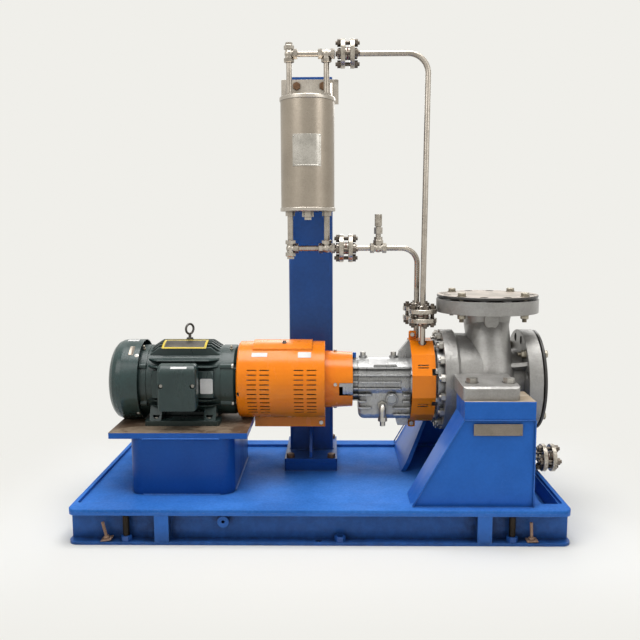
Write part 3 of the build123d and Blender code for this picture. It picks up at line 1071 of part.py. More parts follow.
def build_coupling():
    """Two hubs, a spacer between them and a flexible disc pack at each end."""
    hubs = []
    for face, way, bore in ((SHAFT_END_X, 1, HUB_SHAFT_RADIUS), (MOTOR_SHAFT_END_X, -1, MOTOR_SHAFT_RADIUS)):
        profile = [(0, bore + 0.02), (0, HUB_FLANGE_RADIUS), (12, HUB_FLANGE_RADIUS), (12, HUB_RADIUS),
                   (HUB_LENGTH, HUB_RADIUS), (HUB_LENGTH, bore + 0.02)]
        hub = turned([(face + way * x, r) for x, r in profile])
        for angle in bolt_ring(6):
            hub -= rod(on_shaft(face - way, HUB_FLANGE_RADIUS - 11, angle), (way, 0, 0), 16, 5.05)
        hubs.append(hub)
    x0, x1 = SPACER_X
    spacer = turned([(x0, 30), (x0, HUB_FLANGE_RADIUS), (x0 + 10, HUB_FLANGE_RADIUS),
                     (x0 + 10, SPACER_RADIUS),
                     (x1 - 10, SPACER_RADIUS), (x1 - 10, HUB_FLANGE_RADIUS), (x1, HUB_FLANGE_RADIUS),
                     (x1, 30)])
    for angle in bolt_ring(6):
        spacer -= rod(on_shaft(x0 - 1, HUB_FLANGE_RADIUS - 11, angle), RIGHT, x1 - x0 + 2, 5.05)
    packs, bolts = [], []
    for start, way in ((MOTOR_SHAFT_END_X, 1), (SHAFT_END_X, -1)):
        pack = ring((start + way * SEAT_GAP, 0, SHAFT_Z), (way, 0, 0), DISC_PACK - SEAT_GAP,
                    HUB_FLANGE_RADIUS - 1,
                    HUB_FLANGE_RADIUS - 20)
        for angle in bolt_ring(6):
            centre = on_shaft(start - way, HUB_FLANGE_RADIUS - 11, angle)
            pack -= rod(centre, (way, 0, 0), DISC_PACK + 2, 5.05)
            head = on_shaft(start - way * (12 + SEAT_GAP), HUB_FLANGE_RADIUS - 11, angle)
            bolt = hexagon(head, (-way, 0, 0), 5, 15) + rod(head, (way, 0, 0), 22 + SEAT_GAP + DISC_PACK, 5)
            tail = on_shaft(start + way * (DISC_PACK + 10), HUB_FLANGE_RADIUS - 11, angle)
            bolts.append(bolt + hexagon(tail, (way, 0, 0), 5, 15))
        packs.append(pack)
    return hubs, spacer, packs, bolts


def build_coupling_guard():
    """Sheet guard over the coupling: rolled shell, end wall, raised top strip, slots and skirt."""
    x0, x1 = GUARD_X
    inner = GUARD_RADIUS - GUARD_WALL
    hole = sleeve_radius(x1) + SEAT_GAP
    shell = turned([(x0, inner - 6), (x0 + 6, inner), (x1 - GUARD_WALL, inner), (x1 - GUARD_WALL, hole),
                    (x1, hole),
                    (x1, GUARD_RADIUS), (x0 + 5, GUARD_RADIUS), (x0, GUARD_RADIUS - 5)])
    strip = ring((x0 + 52, 0, SHAFT_Z), RIGHT, 200, GUARD_RADIUS + 6, GUARD_RADIUS + 4)
    strip = strip & box((x0, x1), (-72, 72), (SHAFT_Z + 90, SHAFT_Z + 160))
    for side in (-1, 1):
        edge = ring((x0 + 52, 0, SHAFT_Z), RIGHT, 200, GUARD_RADIUS + 6, inner)
        strip += edge & box((x0, x1), (side * 69, side * 72), (SHAFT_Z + 90, SHAFT_Z + 160))
    body = shell + strip
    for side in (-1, 1):
        flange = box((SKIRT_START, x1), (side * 0.2, side * (0.2 + GUARD_WALL)),
                     (SKIRT_BOTTOM, SHAFT_Z - inner - 1))
        body += flange
    tool = box((0, SLOT_LENGTH), (inner - 12, GUARD_RADIUS + 12), (-SLOT_WIDTH / 2, SLOT_WIDTH / 2))
    tool = Pos(0, 0, SHAFT_Z) * fillet(tool.edges().filter_by(Axis.Y), SLOT_WIDTH * 0.45)
    cuts = []
    for row in range(SLOT_ROWS):
        rise = 23.5 - row * SLOT_PITCH_DEG
        for start in SLOT_COLUMNS:
            for turn in (180 - rise, rise):
                cuts.append((Pos(start - SLOT_LENGTH / 2, 0, 0) * tool).rotate(SHAFT_AXIS, turn))
    cuts.append(rod(on_shaft(x0 - 2, GUARD_RADIUS + 1, 192), RIGHT, 12, 7))
    cuts.append(rod((x1 - 14, -6, SKIRT_BOTTOM + 15), (0, 1, 0), 12, 4.2))
    return body.cut(*cuts)


def build_sleeve():
    """Tapered sheet sleeve between the coupling guard and the bearing frame, with its window."""
    x0, x1 = SLEEVE_X[0] - GUARD_WALL, SLEEVE_X[1]
    r0, r1 = sleeve_radius(x0), sleeve_radius(x1)
    body = turned([(x0, r0 - GUARD_WALL), (x0, r0), (x1, r1), (x1, r1 - GUARD_WALL)])
    window = box((66, x1 + 1), (-SLEEVE_RADIUS[0] - 5, -60), (SHAFT_Z - 40, SHAFT_Z + 4))
    holes = [rod(on_shaft(SLEEVE_SCREW_X, 80, a), on_axis_direction(a), 30, 3.2) for a in SLEEVE_SCREWS]
    return body.cut(window, *holes)


SLEEVE_SCREWS = (0, 90, 180, 270)
SLEEVE_SCREW_X = 53.0


def on_axis_direction(angle):
    """The outward direction at an angle round the shaft."""
    return (0, cos(radians(angle)), sin(radians(angle)))


def build_sleeve_screws():
    """Screws of the sleeve in the guard plate, and the guard's skirt bolts."""
    screws = []
    for angle in SLEEVE_SCREWS:
        face = sleeve_radius(SLEEVE_SCREW_X) + SEAT_GAP
        out = on_axis_direction(angle)
        head = hexagon(on_shaft(SLEEVE_SCREW_X, face, angle), out, 5, 11)
        screws.append(head + rod(on_shaft(SLEEVE_SCREW_X, face, angle), [-c for c in out], 14, 3))
    start = (GUARD_X[1] - 14, -0.2 - GUARD_WALL, SKIRT_BOTTOM + 15)
    bolt = hexagon(start, (0, -1, 0), 6, 13) + rod(start, (0, 1, 0), 14, 4)
    screws.append(bolt + hexagon((start[0], 0.2 + GUARD_WALL, start[2]), (0, 1, 0), 6, 13))
    return screws


def polygon_ring(x0, x1, apothem, wall, sides=12):
    """A many-sided sheet ring about the shaft line."""
    plane = Plane(origin=(x0, 0, SHAFT_Z), z_dir=(1, 0, 0))
    outer = RegularPolygon(apothem, sides, major_radius=False)
    inner = RegularPolygon(apothem - wall, sides, major_radius=False)
    turn = Rot(0, 0, 180 / sides)
    return extrude(plane * (turn * outer - turn * inner), amount=x1 - x0)


def build_shaft_guard():
    """Folded sheet guard round the seal, in two halves joined by bolted tabs."""
    x0, x1 = SHAFT_GUARD_X
    body = polygon_ring(x0, x1, SHAFT_GUARD_APOTHEM, GUARD_WALL)
    cuts = []
    for rise in (28, -28, 152, 208):
        for offset in (-4.5, 4.5):
            slot = box((x0 + 20, x1 - 22), (SHAFT_GUARD_APOTHEM - 12, SHAFT_GUARD_APOTHEM + 12),
                       (offset - 1.8, offset + 1.8))
            slot = Pos(0, 0, SHAFT_Z) * fillet(slot.edges().filter_by(Axis.Y), 1.6)
            cuts.append(slot.rotate(SHAFT_AXIS, rise))
    for x, y in (GLAND_FRONT, GLAND_REAR):
        cuts.append(rod((x, y, SHAFT_Z + 100), UP, 60, TUBE_RADIUS + 4))
    for side in (-1, 1):
        cuts.append(box((x1 - 12, x1 + 1), (side * 120, side * 150), (SHAFT_Z + 38, SHAFT_Z + 58)))
        cuts.append(box((x1 - 12, x1 + 1), (side * 120, side * 150), (SHAFT_Z - 70, SHAFT_Z - 52)))
    body = body.cut(*cuts)
    for side in (-1, 1):
        for way in (-1, 1):
            z0 = SHAFT_Z + way * (SHAFT_GUARD_APOTHEM - GUARD_WALL)
            tab = box((x0, x0 + 25), (side * 0.2, side * (0.2 + GUARD_WALL)), (z0, z0 + way * 32))
            body += fillet(tab.edges().filter_by(Axis.Y).group_by(Axis.Z)[-1 if way > 0 else 0], 6)
    seam = box((x0 - 1, x1 + 1), (-0.2, 0.2), (SHAFT_Z - 200, SHAFT_Z + 200))
    body = body.cut(seam, *[rod((x0 + 12, -6, SHAFT_Z + way * (SHAFT_GUARD_APOTHEM + 17)), (0, 1, 0), 12, 4.2)
                            for way in (-1, 1)])
    bolts = []
    for way in (-1, 1):
        start = (x0 + 12, -0.2 - GUARD_WALL, SHAFT_Z + way * (SHAFT_GUARD_APOTHEM + 17))
        bolt = hexagon(start, (0, -1, 0), 6, 13) + rod(start, (0, 1, 0), 14, 4)
        bolts.append(bolt + hexagon((start[0], 0.2 + GUARD_WALL, start[2]), (0, 1, 0), 6, 13))
    return body, bolts


MOTOR_CORE_X = (-580.0, -330.0)
BELL_X = (-618.0, -580.0)
FAN_COVER_X = (-708.0, -604.0)
MOTOR_FIN = 5.0
FIN_PITCH = 17.0
TOP_FINS = 9
LOW_FINS = 7
SIDE_FIN_RISES = (84.0, 64.0, -49.0, -69.0)
SIDE_PANEL_RISE = (-40.0, 50.0)
SIDE_PANEL_Y = 125.0
MOTOR_BORE = 96.0
MOTOR_JOURNAL_RADIUS = 20.0
MOTOR_BEARING_RADIUS = 40.0
MOTOR_DRIVE_BEARING_X = (-322.0, -301.0)
MOTOR_REAR_BEARING_X = (-606.0, -589.0)


def build_motor_frame():
    """Cast motor frame: core, upright and level fins cut to a round outline, feet and box pad."""
    x0, x1 = MOTOR_CORE_X
    body = rod((x0, 0, SHAFT_Z), RIGHT, x1 - x0, MOTOR_CORE)
    outline = rod((x0, 0, SHAFT_Z), RIGHT, x1 - x0, MOTOR_RADIUS)
    fins = []
    for count, low, high in ((TOP_FINS, SHAFT_Z + 60, SHAFT_Z + MOTOR_RADIUS),
                             (LOW_FINS, MOTOR_BASE_Z + 8, SHAFT_Z - 60)):
        for i in range(count):
            y = (i - (count - 1) / 2) * FIN_PITCH
            fins.append(box((x0, x1), (y - MOTOR_FIN / 2, y + MOTOR_FIN / 2), (low, high)))
    for side in (-1, 1):
        for rise in SIDE_FIN_RISES:
            fins.append(box((x0, x1), (side * 80, side * 134),
                            (SHAFT_Z + rise - MOTOR_FIN / 2, SHAFT_Z + rise + MOTOR_FIN / 2)))
        fins.append(box((x0 + 22, x1 - 22), (side * 80, side * SIDE_PANEL_Y),
                        (SHAFT_Z + SIDE_PANEL_RISE[0], SHAFT_Z + SIDE_PANEL_RISE[1])))
    taper = turned([(x0, 0), (x0, BELL_RADIUS - 6), (x0 + 38, MOTOR_RADIUS), (x1 - 38, MOTOR_RADIUS),
                    (x1, BELL_RADIUS - 6), (x1, 0)])
    finned = fins[0].fuse(*fins[1:]) & outline & taper
    body = body.fuse(finned)
    low = MOTOR_BASE_Z
    fx0, fx1 = MOTOR_MID_X - FOOT_LENGTH / 2, MOTOR_MID_X + FOOT_LENGTH / 2
    for side in (-1, 1):
        foot = box((fx0, fx1), (side * 66, side * 134), (low, low + FOOT_THICKNESS))
        foot = fillet(foot.edges().filter_by(Axis.Z), 10)
        body += foot
        for x in (fx0 + 14, fx1 - 54):
            web = make_face(Polyline((x, side * 68, low + 4), (x, side * 128, low + 10),
                                     (x, side * 100, low + 62),
                                     (x, side * 68, low + 80), close=True))
            body += extrude(web, amount=40, dir=(1, 0, 0))
    body += box((CONDUIT_X[0] + 8, CONDUIT_X[1] - 8), (-CONDUIT_BACK, -80),
                (CONDUIT_Z[0] + 12, CONDUIT_Z[1] - 16))
    body += rod((MOTOR_MID_X + 8, 0, SHAFT_Z + 90), UP, MOTOR_RADIUS - 88, 14)
    cuts = [rod((x0 - 1, 0, SHAFT_Z), RIGHT, x1 - x0 + 2, MOTOR_BORE),
            rod((MOTOR_MID_X + 8, 0, SHAFT_Z + 112), UP, 40, 6.05)]
    for i in (-1, 1):
        for j in (-1, 1):
            cuts.append(rod((MOTOR_MID_X + i * MOTOR_BOLT_X / 2, j * MOTOR_BOLT_Y, low - 1), UP,
                            FOOT_THICKNESS + 2, 6.5))
            cuts.append(rod((MOTOR_MID_X + i * MOTOR_BOLT_X / 2, j * MOTOR_BOLT_Y, low + FOOT_THICKNESS), UP,
                            16, 14))
    for x in (CONDUIT_X[0] + 12, CONDUIT_X[1] - 12):
        cuts.append(rod((x, -CONDUIT_BACK - 1, CONDUIT_SCREW_Z), (0, 1, 0), 16, 3.05))
    return body.cut(*cuts)


CONDUIT_X = (-523.0, -396.0)
CONDUIT_Z = (373.0, 524.0)
CONDUIT_BACK = 136.0
CONDUIT_SPLIT = 158.0
CONDUIT_FRONT = 204.0
CONDUIT_SCREW_Z = 455.0
CONDUIT_ENTRY_RADIUS = 17.0


def build_conduit_box():
    """Cast terminal box with a rolled-top cover and two screws."""
    x0, x1 = CONDUIT_X
    z0, z1 = CONDUIT_Z
    base = box((x0 + 3, x1 - 3), (-CONDUIT_SPLIT, -CONDUIT_BACK), (z0 + 4, z1 - 6))
    base = fillet(base.edges().filter_by(Axis.Y), 12)
    base -= fillet(box((x0 + 10, x1 - 10), (-CONDUIT_SPLIT - 1, -CONDUIT_BACK - 5),
                       (z0 + 11, z1 - 13)).edges().filter_by(Axis.Y), 8)
    cover = box((x0, x1), (-CONDUIT_FRONT, -CONDUIT_SPLIT), (z0, z1))
    cover = fillet(cover.edges().filter_by(Axis.X).sort_by(Axis.Z)[-2:].sort_by(Axis.Y)[0], 32)
    cover = fillet(cover.edges().filter_by(Axis.Y), 12)
    hollow = box((x0 + 5, x1 - 5), (-CONDUIT_FRONT + 5, -CONDUIT_SPLIT + 1), (z0 + 5, z1 - 5))
    hollow = fillet(hollow.edges().filter_by(Axis.X).sort_by(Axis.Z)[-2:].sort_by(Axis.Y)[0], 28)
    cover -= hollow
    entry = (x0 + x1) / 2
    cover -= rod((entry, -(CONDUIT_SPLIT + CONDUIT_FRONT) / 2, z0 - 1), UP, 8, CONDUIT_ENTRY_RADIUS)
    screws = []
    for x in (x0 + 12, x1 - 12):
        pillar = box((x - 9, x + 9), (-CONDUIT_FRONT + 3, -CONDUIT_SPLIT),
                     (CONDUIT_SCREW_Z - 9, CONDUIT_SCREW_Z + 9))
        cover += pillar & box((x0, x1), (-CONDUIT_FRONT, -CONDUIT_SPLIT), (z0, z1))
        well = rod((x, -CONDUIT_FRONT - 1, CONDUIT_SCREW_Z), (0, 1, 0), 15, 8)
        cover = cover.cut(well, rod((x, -CONDUIT_FRONT, CONDUIT_SCREW_Z), (0, 1, 0), 60, 3.4))
        base += rod((x, -CONDUIT_SPLIT, CONDUIT_SCREW_Z), (0, 1, 0), CONDUIT_SPLIT - CONDUIT_BACK, 8)
        base -= rod((x, -CONDUIT_SPLIT - 1, CONDUIT_SCREW_Z), (0, 1, 0), 40, 3.4)
        seat = -CONDUIT_FRONT + 14
        screw = hexagon((x, seat, CONDUIT_SCREW_Z), (0, -1, 0), 6, 11)
        screws.append(screw + rod((x, seat, CONDUIT_SCREW_Z), (0, 1, 0), -CONDUIT_BACK - seat + 12, 3))
    return base, cover, screws


def build_motor_ends():
    """Both end bells with their screw bosses, and the domed fan cover with its grille."""
    x0, x1 = MOTOR_CORE_X
    drive = turned([(x1, 80), (x1, BELL_RADIUS), (MOTOR_FACE_X - 18, BELL_RADIUS),
                    (MOTOR_FACE_X - 6, BELL_RADIUS - 10),
                    (MOTOR_FACE_X - 6, 62), (MOTOR_FACE_X, 58), (MOTOR_FACE_X, MOTOR_SHAFT_RADIUS + 4.6),
                    (-300, MOTOR_SHAFT_RADIUS + 4.6), (-300, 40), (-322, 40), (-322, 80)])
    rear = turned([(x0, 80), (x0, BELL_RADIUS), (BELL_X[0] + 8, BELL_RADIUS), (BELL_X[0], BELL_RADIUS - 8),
                   (BELL_X[0], MOTOR_SHAFT_RADIUS + 4.6), (-606, MOTOR_SHAFT_RADIUS + 4.6), (-606, 40),
                   (-588, 40),
                   (-588, 80)])
    bolts = []
    for angle in bolt_ring(4, 32):
        angle = angle if angle in (32, 212) else angle + 26
        boss = rod(on_shaft(x1, BELL_RADIUS - 3, angle), RIGHT, 36, 11)
        drive += boss
        drive -= rod(on_shaft(x1 - 1, BELL_RADIUS - 3, angle), RIGHT, 50, 4.6)
        rear += rod(on_shaft(x0, BELL_RADIUS - 3, angle), LEFT, 22, 11)
        rear -= rod(on_shaft(x0 + 1, BELL_RADIUS - 3, angle), LEFT, 50, 4.6)
        head = on_shaft(x1 + 36, BELL_RADIUS - 3, angle)
        drive -= rod(head, RIGHT, 40, 12)
        bolts.append(hexagon(head, RIGHT, 7, 16) + rod(head, LEFT, 36, 4.5))
    c0, c1 = FAN_COVER_X
    wall = 2.5
    flat = MOTOR_BASE_Z + SEAT_GAP
    outside = turned([(c0 + 4, 0), (c0 + 4, 94), (c0, 98), (c0 + 2, 108), (c0 + 8, 120), (c0 + 18, 131),
                      (c0 + 32, 137), (c0 + 46, MOTOR_RADIUS), (c1, MOTOR_RADIUS), (c1, 0)])
    inside = turned([(c0 + 4 + wall, 0), (c0 + 4 + wall, 94), (c0 + 3, 100), (c0 + 5, 107), (c0 + 10, 118),
                     (c0 + 19, 128), (c0 + 33, 134), (c0 + 47, MOTOR_RADIUS - wall),
                     (c1 + 1, MOTOR_RADIUS - wall),
                     (c1 + 1, 0)])
    above = box((c0 - 5, c1 + 5), (-150, 150), (flat, SHAFT_Z + 150))
    cover = (outside & above) - (inside & (Pos(0, 0, wall) * above))
    cuts = []
    for radius, count in ((26, 6), (42, 10), (58, 14), (74, 18), (90, 22)):
        for angle in bolt_ring(count):
            cuts.append(rod(on_shaft(c0 - 2, radius, angle), RIGHT, 16, 5.4))
    cover = cover.cut(*cuts)
    for angle in (45, 135, 225, 315):
        lug = box((BELL_X[0] + 2, BELL_X[0] + 12), (-7, 7), (BELL_RADIUS - 4, MOTOR_RADIUS - wall - SEAT_GAP))
        rear += (Pos(0, 0, SHAFT_Z) * lug).rotate(SHAFT_AXIS, angle)
    return drive, rear, bolts, cover


def build_motor_inside():
    """Wound stator, rotor with its shaft, cooling fan and the two bearings."""
    x0, x1 = MOTOR_CORE_X
    stator = ring((x0 + 40, 0, SHAFT_Z), RIGHT, x1 - x0 - 80, MOTOR_BORE - 0.02, 62)
    stator += ring((x0 + 18, 0, SHAFT_Z), RIGHT, x1 - x0 - 36, 86, 66)
    shaft = turned([(MOTOR_SHAFT_END_X, 0), (MOTOR_SHAFT_END_X, MOTOR_SHAFT_RADIUS - 1),
                    (MOTOR_SHAFT_END_X - 1, MOTOR_SHAFT_RADIUS), (MOTOR_FACE_X - 8, MOTOR_SHAFT_RADIUS),
                    (MOTOR_FACE_X - 8, 20), (-324, 20), (-324, 26), (-346, 26), (-346, 61.4), (x0 + 44, 61.4),
                    (x0 + 44, 26), (-586, 26), (-586, 20), (-608, 20), (-608, 12), (-672, 12), (-672, 0)])
    fan = turned([(-664, 12.02), (-664, 26), (-650, 30), (-636, 104), (-632, 104), (-645, 27), (-636, 24),
                  (-636, 12.02)])
    blade = box((-662, -637), (-2, 2), (20, 104))
    for angle in bolt_ring(8):
        fan += (Pos(0, 0, SHAFT_Z) * blade).rotate(SHAFT_AXIS, angle)
    fan -= rod((-700, 0, SHAFT_Z), RIGHT, 80, 12.02)
    return stator, shaft, fan


def build_eyebolt():
    """Lifting eye screwed into the top of the motor frame."""
    place = (MOTOR_MID_X + 8, 0, SHAFT_Z + MOTOR_RADIUS + 2)
    eye = Pos(place[0], 0, place[2] + 35) * Rot(90, 0, 0) * Rot(0, 52, 0) * Torus(17, 3.8)
    stem = rod((place[0], 0, place[2] + 4), UP, 13, 5) + rod(place, UP, 5, 11) + rod(place, DOWN, 26, 6)
    return eye + stem


def build_motor_bolts():
    """Screws of the motor's feet in the pedestal's top."""
    bolts = []
    top = MOTOR_BASE_Z + FOOT_THICKNESS
    for i in (-1, 1):
        for j in (-1, 1):
            place = (MOTOR_MID_X + i * MOTOR_BOLT_X / 2, j * MOTOR_BOLT_Y, top)
            bolts.append(hexagon(place, UP, 8, 18) + rod(place, DOWN, FOOT_THICKNESS + MOTOR_PLATE_THICKNESS,
                                                         6))
    return bolts


def build_drain_line():
    """Casing drain: a bent tube from the casing's lowest port to a blinded flange pair."""
    start = SHAFT_Z - CASING_BODY_RADIUS - 16
    return bent_tube([(DRAIN_X, 0, start), (DRAIN_X, 0, DRAIN_Z), (DRAIN_FLANGE_X - LINE_REACH, 0, DRAIN_Z)],
                     38)


def save_base():
    """The baseplate, the pedestals, the column and the cooler."""
    save("base_frame", build_base_frame())
    save("deck_pan", build_deck())
    screws, nuts = build_jackscrews()
    save("jackscrews", *screws, *nuts)
    save("motor_pedestal", build_motor_pedestal())
    save("motor_plate", build_motor_plate())
    save("pump_pedestals", build_pump_pedestal(-1), build_pump_pedestal(1))
    save("cooler_column", build_column(), build_column_pad())
    save("column_bolts", *build_column_bolts(), *build_bracket_bolts())
    save("cooler_bracket", build_bracket())
    shell, top_head, bottom_head, plug = build_cooler()
    save("cooler_shell", shell)
    save("cooler_heads", top_head, bottom_head, plug)
    save("cooler_coils", *build_coils())


def save_lines():
    """The tubing between the cooler, the seal and the drain, with its flanges and valve."""
    top_tees, top_tubes = build_manifold(TOP_LINE_Z, -1, COOLER_TOP)
    low_tees, low_tubes = build_manifold(LOW_LINE_Z, 1, COOLER_BOTTOM)
    top, near, far, tee, valve = build_lines()
    stubs = build_gland_stubs(GLAND_RADIUS)
    save("tube_tees", *top_tees, *low_tees, tee)
    save("manifold_tubes", *top_tubes, *low_tubes)
    save("return_line", top, stubs[0])
    save("supply_line", near, far, stubs[1])
    save("vent_valve", valve)
    save("drain_line", build_drain_line())
    pairs = [((TOP_FLANGE_X, COOLER_Y, TOP_LINE_Z), RIGHT, False),
             ((LOW_FLANGE_X, COOLER_Y, LOW_LINE_Z), RIGHT, False),
             ((*GLAND_FRONT, GLAND_FLANGE_Z), UP, False), ((*GLAND_REAR, GLAND_FLANGE_Z), UP, False),
             ((DRAIN_FLANGE_X, 0, DRAIN_Z), RIGHT, True)]
    flanges, gaskets, bolting = [], [], []
    for centre, direction, blind in pairs:
        pair, gasket, studs, nuts = line_flange_pair(centre, direction, blind)
        flanges += pair
        gaskets.append(gasket)
        bolting += studs + nuts
    covers, nozzle_gaskets = build_nozzle_covers()
    save("line_flanges", *flanges)
    save("line_bolting", *bolting)
    save("gaskets", *gaskets, *nozzle_gaskets)
    save("nozzle_covers", *covers)


def save_pump():
    """The pump: casing, cover, seal, shaft, impeller and bearing frame."""
    save("pump_casing", build_casing())
    save("pump_foot_bolts", *build_foot_bolts())
    save("seal_chamber_cover", build_seal_cover())
    studs, nuts = build_casing_studs()
    save("casing_bolting", *studs, *nuts)
    frame_screws, gland_screws = build_frame_bolts()
    end_cover, plate, cover_screws, inner_cover = build_end_cover()
    save("pump_screws", *frame_screws, *gland_screws, *cover_screws)
    save("bearing_covers", end_cover, inner_cover, plate)
    save("gland_plate", build_gland())
    seat, head = build_seal()
    save("seal_seat", seat)
    save("seal_head", head)
    save("pump_shaft", build_shaft())
    impeller, impeller_nut, wear_ring = build_impeller()
    save("impeller", impeller)
    save("impeller_nut", impeller_nut)
    save("wear_ring", wear_ring)
    thrust = ball_bearing(*THRUST_X, BEARING_SHAFT_RADIUS, FRAME_BORE, 2)
    radial = ball_bearing(*RADIAL_X, BEARING_SHAFT_RADIUS, FRAME_BORE, 1)
    drive = ball_bearing(*MOTOR_DRIVE_BEARING_X, MOTOR_JOURNAL_RADIUS, MOTOR_BEARING_RADIUS, 1)
    rear = ball_bearing(*MOTOR_REAR_BEARING_X, MOTOR_JOURNAL_RADIUS, MOTOR_BEARING_RADIUS, 1)
    save("bearing_outer_rings", thrust[1], radial[1], drive[1], rear[1])
    save("pump_bearings", thrust[0], radial[0], *thrust[2], *radial[2])
    save("motor_bearings", drive[0], rear[0], *drive[2], *rear[2])
    save("bearing_housing", build_bearing_housing())
    glass, elbow, elbow_plug, tops, cap = build_frame_fittings()
    save("oil_sight_glass", glass)
    save("oil_fittings", elbow, elbow_plug, *tops)
    save("breather_cap", cap)


def save_coupling():
    """The spacer coupling and the three guards."""
    hubs, spacer, packs, bolts = build_coupling()
    save("pump_hub", hubs[0])
    save("motor_hub", hubs[1])
    save("coupling_spacer", spacer)
    save("disc_packs", *packs)
    save("coupling_bolts", *bolts)
    save("coupling_guard", build_coupling_guard())
    save("guard_sleeve", build_sleeve())
    shaft_guard, tab_bolts = build_shaft_guard()
    save("shaft_guard", shaft_guard)
    save("guard_screws", *build_sleeve_screws(), *tab_bolts)


def save_motor():
    """The electric motor."""
    save("motor_frame", build_motor_frame())
    base, cover, screws = build_conduit_box()
    save("conduit_box", base, cover)
    drive_bell, rear_bell, bell_bolts, fan_cover = build_motor_ends()
    save("motor_end_bells", drive_bell, rear_bell)
    save("motor_screws", *bell_bolts, *screws, *build_motor_bolts())
    save("fan_cover", fan_cover)
    stator, rotor, fan = build_motor_inside()
    save("motor_stator", stator)
    save("motor_rotor", rotor)
    save("motor_fan", fan)
    save("lifting_eye", build_eyebolt())


os.makedirs("parts", exist_ok=True)
save_base()
save_lines()
save_pump()
save_coupling()
save_motor()
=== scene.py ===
import bpy
import math
from mathutils import Matrix, Vector


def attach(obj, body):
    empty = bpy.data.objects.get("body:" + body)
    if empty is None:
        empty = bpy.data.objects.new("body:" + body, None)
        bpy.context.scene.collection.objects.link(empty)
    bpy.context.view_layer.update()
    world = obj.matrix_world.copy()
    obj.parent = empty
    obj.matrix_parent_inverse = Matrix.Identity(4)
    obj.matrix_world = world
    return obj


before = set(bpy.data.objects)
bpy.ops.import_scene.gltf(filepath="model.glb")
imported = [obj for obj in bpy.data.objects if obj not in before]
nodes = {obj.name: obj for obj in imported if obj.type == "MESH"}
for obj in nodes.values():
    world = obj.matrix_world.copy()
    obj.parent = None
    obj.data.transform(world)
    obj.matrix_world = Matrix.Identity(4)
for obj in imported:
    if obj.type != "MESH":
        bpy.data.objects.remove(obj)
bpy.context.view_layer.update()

bpy.ops.object.select_all(action="DESELECT")
scene = bpy.context.scene

# Metres. X runs along the shaft towards the suction flange, Y away from the front, Z up.
SHAFT_Z = 0.440
UP, DOWN = (0.0, 0.0, 1.0), (0.0, 0.0, -1.0)
CAMERA_PLACE = (0.0454, -2.5515, 0.9503)
LOOK_DOWN, LOOK_LEFT, LEAN = 6.8, -1.0, -0.2
FOCAL_PIXELS, PICTURE_PIXELS = 745.9, 640.0
SENSOR_WIDTH = 36.0


def place_camera():
    """The photograph's view: a little above the shaft, level with the middle of the set."""
    down, left, roll = math.radians(LOOK_DOWN), math.radians(LOOK_LEFT), math.radians(LEAN)
    forward = Vector((math.sin(left) * math.cos(down), math.cos(left) * math.cos(down), -math.sin(down)))
    bpy.ops.object.camera_add(location=CAMERA_PLACE)
    camera = bpy.context.object
    camera.name = "camera"
    turn = forward.to_track_quat("-Z", "Y").to_matrix() @ Matrix.Rotation(roll, 3, "Z")
    camera.rotation_euler = turn.to_euler()
    camera.data.sensor_width = SENSOR_WIDTH
    camera.data.lens = FOCAL_PIXELS * SENSOR_WIDTH / PICTURE_PIXELS
    camera.data.clip_start, camera.data.clip_end = 0.05, 60.0
    scene.camera = camera


place_camera()


def new_group(name, inputs, outputs):
    """An empty shader group with its input and output sockets, and its two end nodes."""
    group = bpy.data.node_groups.new(name, "ShaderNodeTree")
    for label, value in inputs:
        group.interface.new_socket(label, in_out="INPUT", socket_type="NodeSocketFloat").default_value = value
    for label in outputs:
        kind = "NodeSocketVector" if label == "Normal" else "NodeSocketFloat"
        group.interface.new_socket(label, in_out="OUTPUT", socket_type=kind)
    return group, group.nodes.new("NodeGroupInput"), group.nodes.new("NodeGroupOutput")


def join(tree, start, end):
    """Links one socket to another."""
    tree.links.new(start, end)


def feed(tree, value, socket):
    """Gives a socket a number, or links it to another socket."""
    if isinstance(value, (int, float)):
        socket.default_value = value
    else:
        join(tree, value, socket)


def math_node(tree, operation, first, second=None, clamp=False):
    """A math node; each argument is a socket or a number."""
    node = tree.nodes.new("ShaderNodeMath")
    node.operation = operation
    node.use_clamp = clamp
    feed(tree, first, node.inputs[0])
    if second is not None:
        feed(tree, second, node.inputs[1])
    return node.outputs[0]


def times(tree, first, second, clamp=False):
    """Two values multiplied."""
    return math_node(tree, "MULTIPLY", first, second, clamp)


def place_in_object(tree):
    """The object's own coordinates, in metres."""
    return tree.nodes.new("ShaderNodeTexCoord").outputs["Object"]


def axes(tree, vector):
    """The X, Y and Z sockets of a vector socket."""
    split = tree.nodes.new("ShaderNodeSeparateXYZ")
    join(tree, vector, split.inputs[0])
    return split.outputs


def noise(tree, scale, detail=4.0, rough=0.55, stretch=None, distortion=0.0):
    """A noise texture on the object's own coordinates, in metres; its factor socket."""
    place = place_in_object(tree)
    if stretch:
        mapping = tree.nodes.new("ShaderNodeMapping")
        mapping.inputs["Scale"].default_value = stretch
        join(tree, place, mapping.inputs["Vector"])
        place = mapping.outputs["Vector"]
    texture = tree.nodes.new("ShaderNodeTexNoise")
    join(tree, place, texture.inputs["Vector"])
    feed(tree, scale, texture.inputs["Scale"])
    texture.inputs["Detail"].default_value = detail
    texture.inputs["Roughness"].default_value = rough
    texture.inputs["Distortion"].default_value = distortion
    return texture.outputs["Fac"]


def spread(tree, value, low, high, out_low=0.0, out_high=1.0):
    """Maps a range of a value smoothly onto another range; ends are numbers or sockets."""
    node = tree.nodes.new("ShaderNodeMapRange")
    node.interpolation_type = "SMOOTHSTEP"
    join(tree, value, node.inputs["Value"])
    for label, end in (("From Min", low), ("From Max", high), ("To Min", out_low), ("To Max", out_high)):
        feed(tree, end, node.inputs[label])
    return node.outputs["Result"]


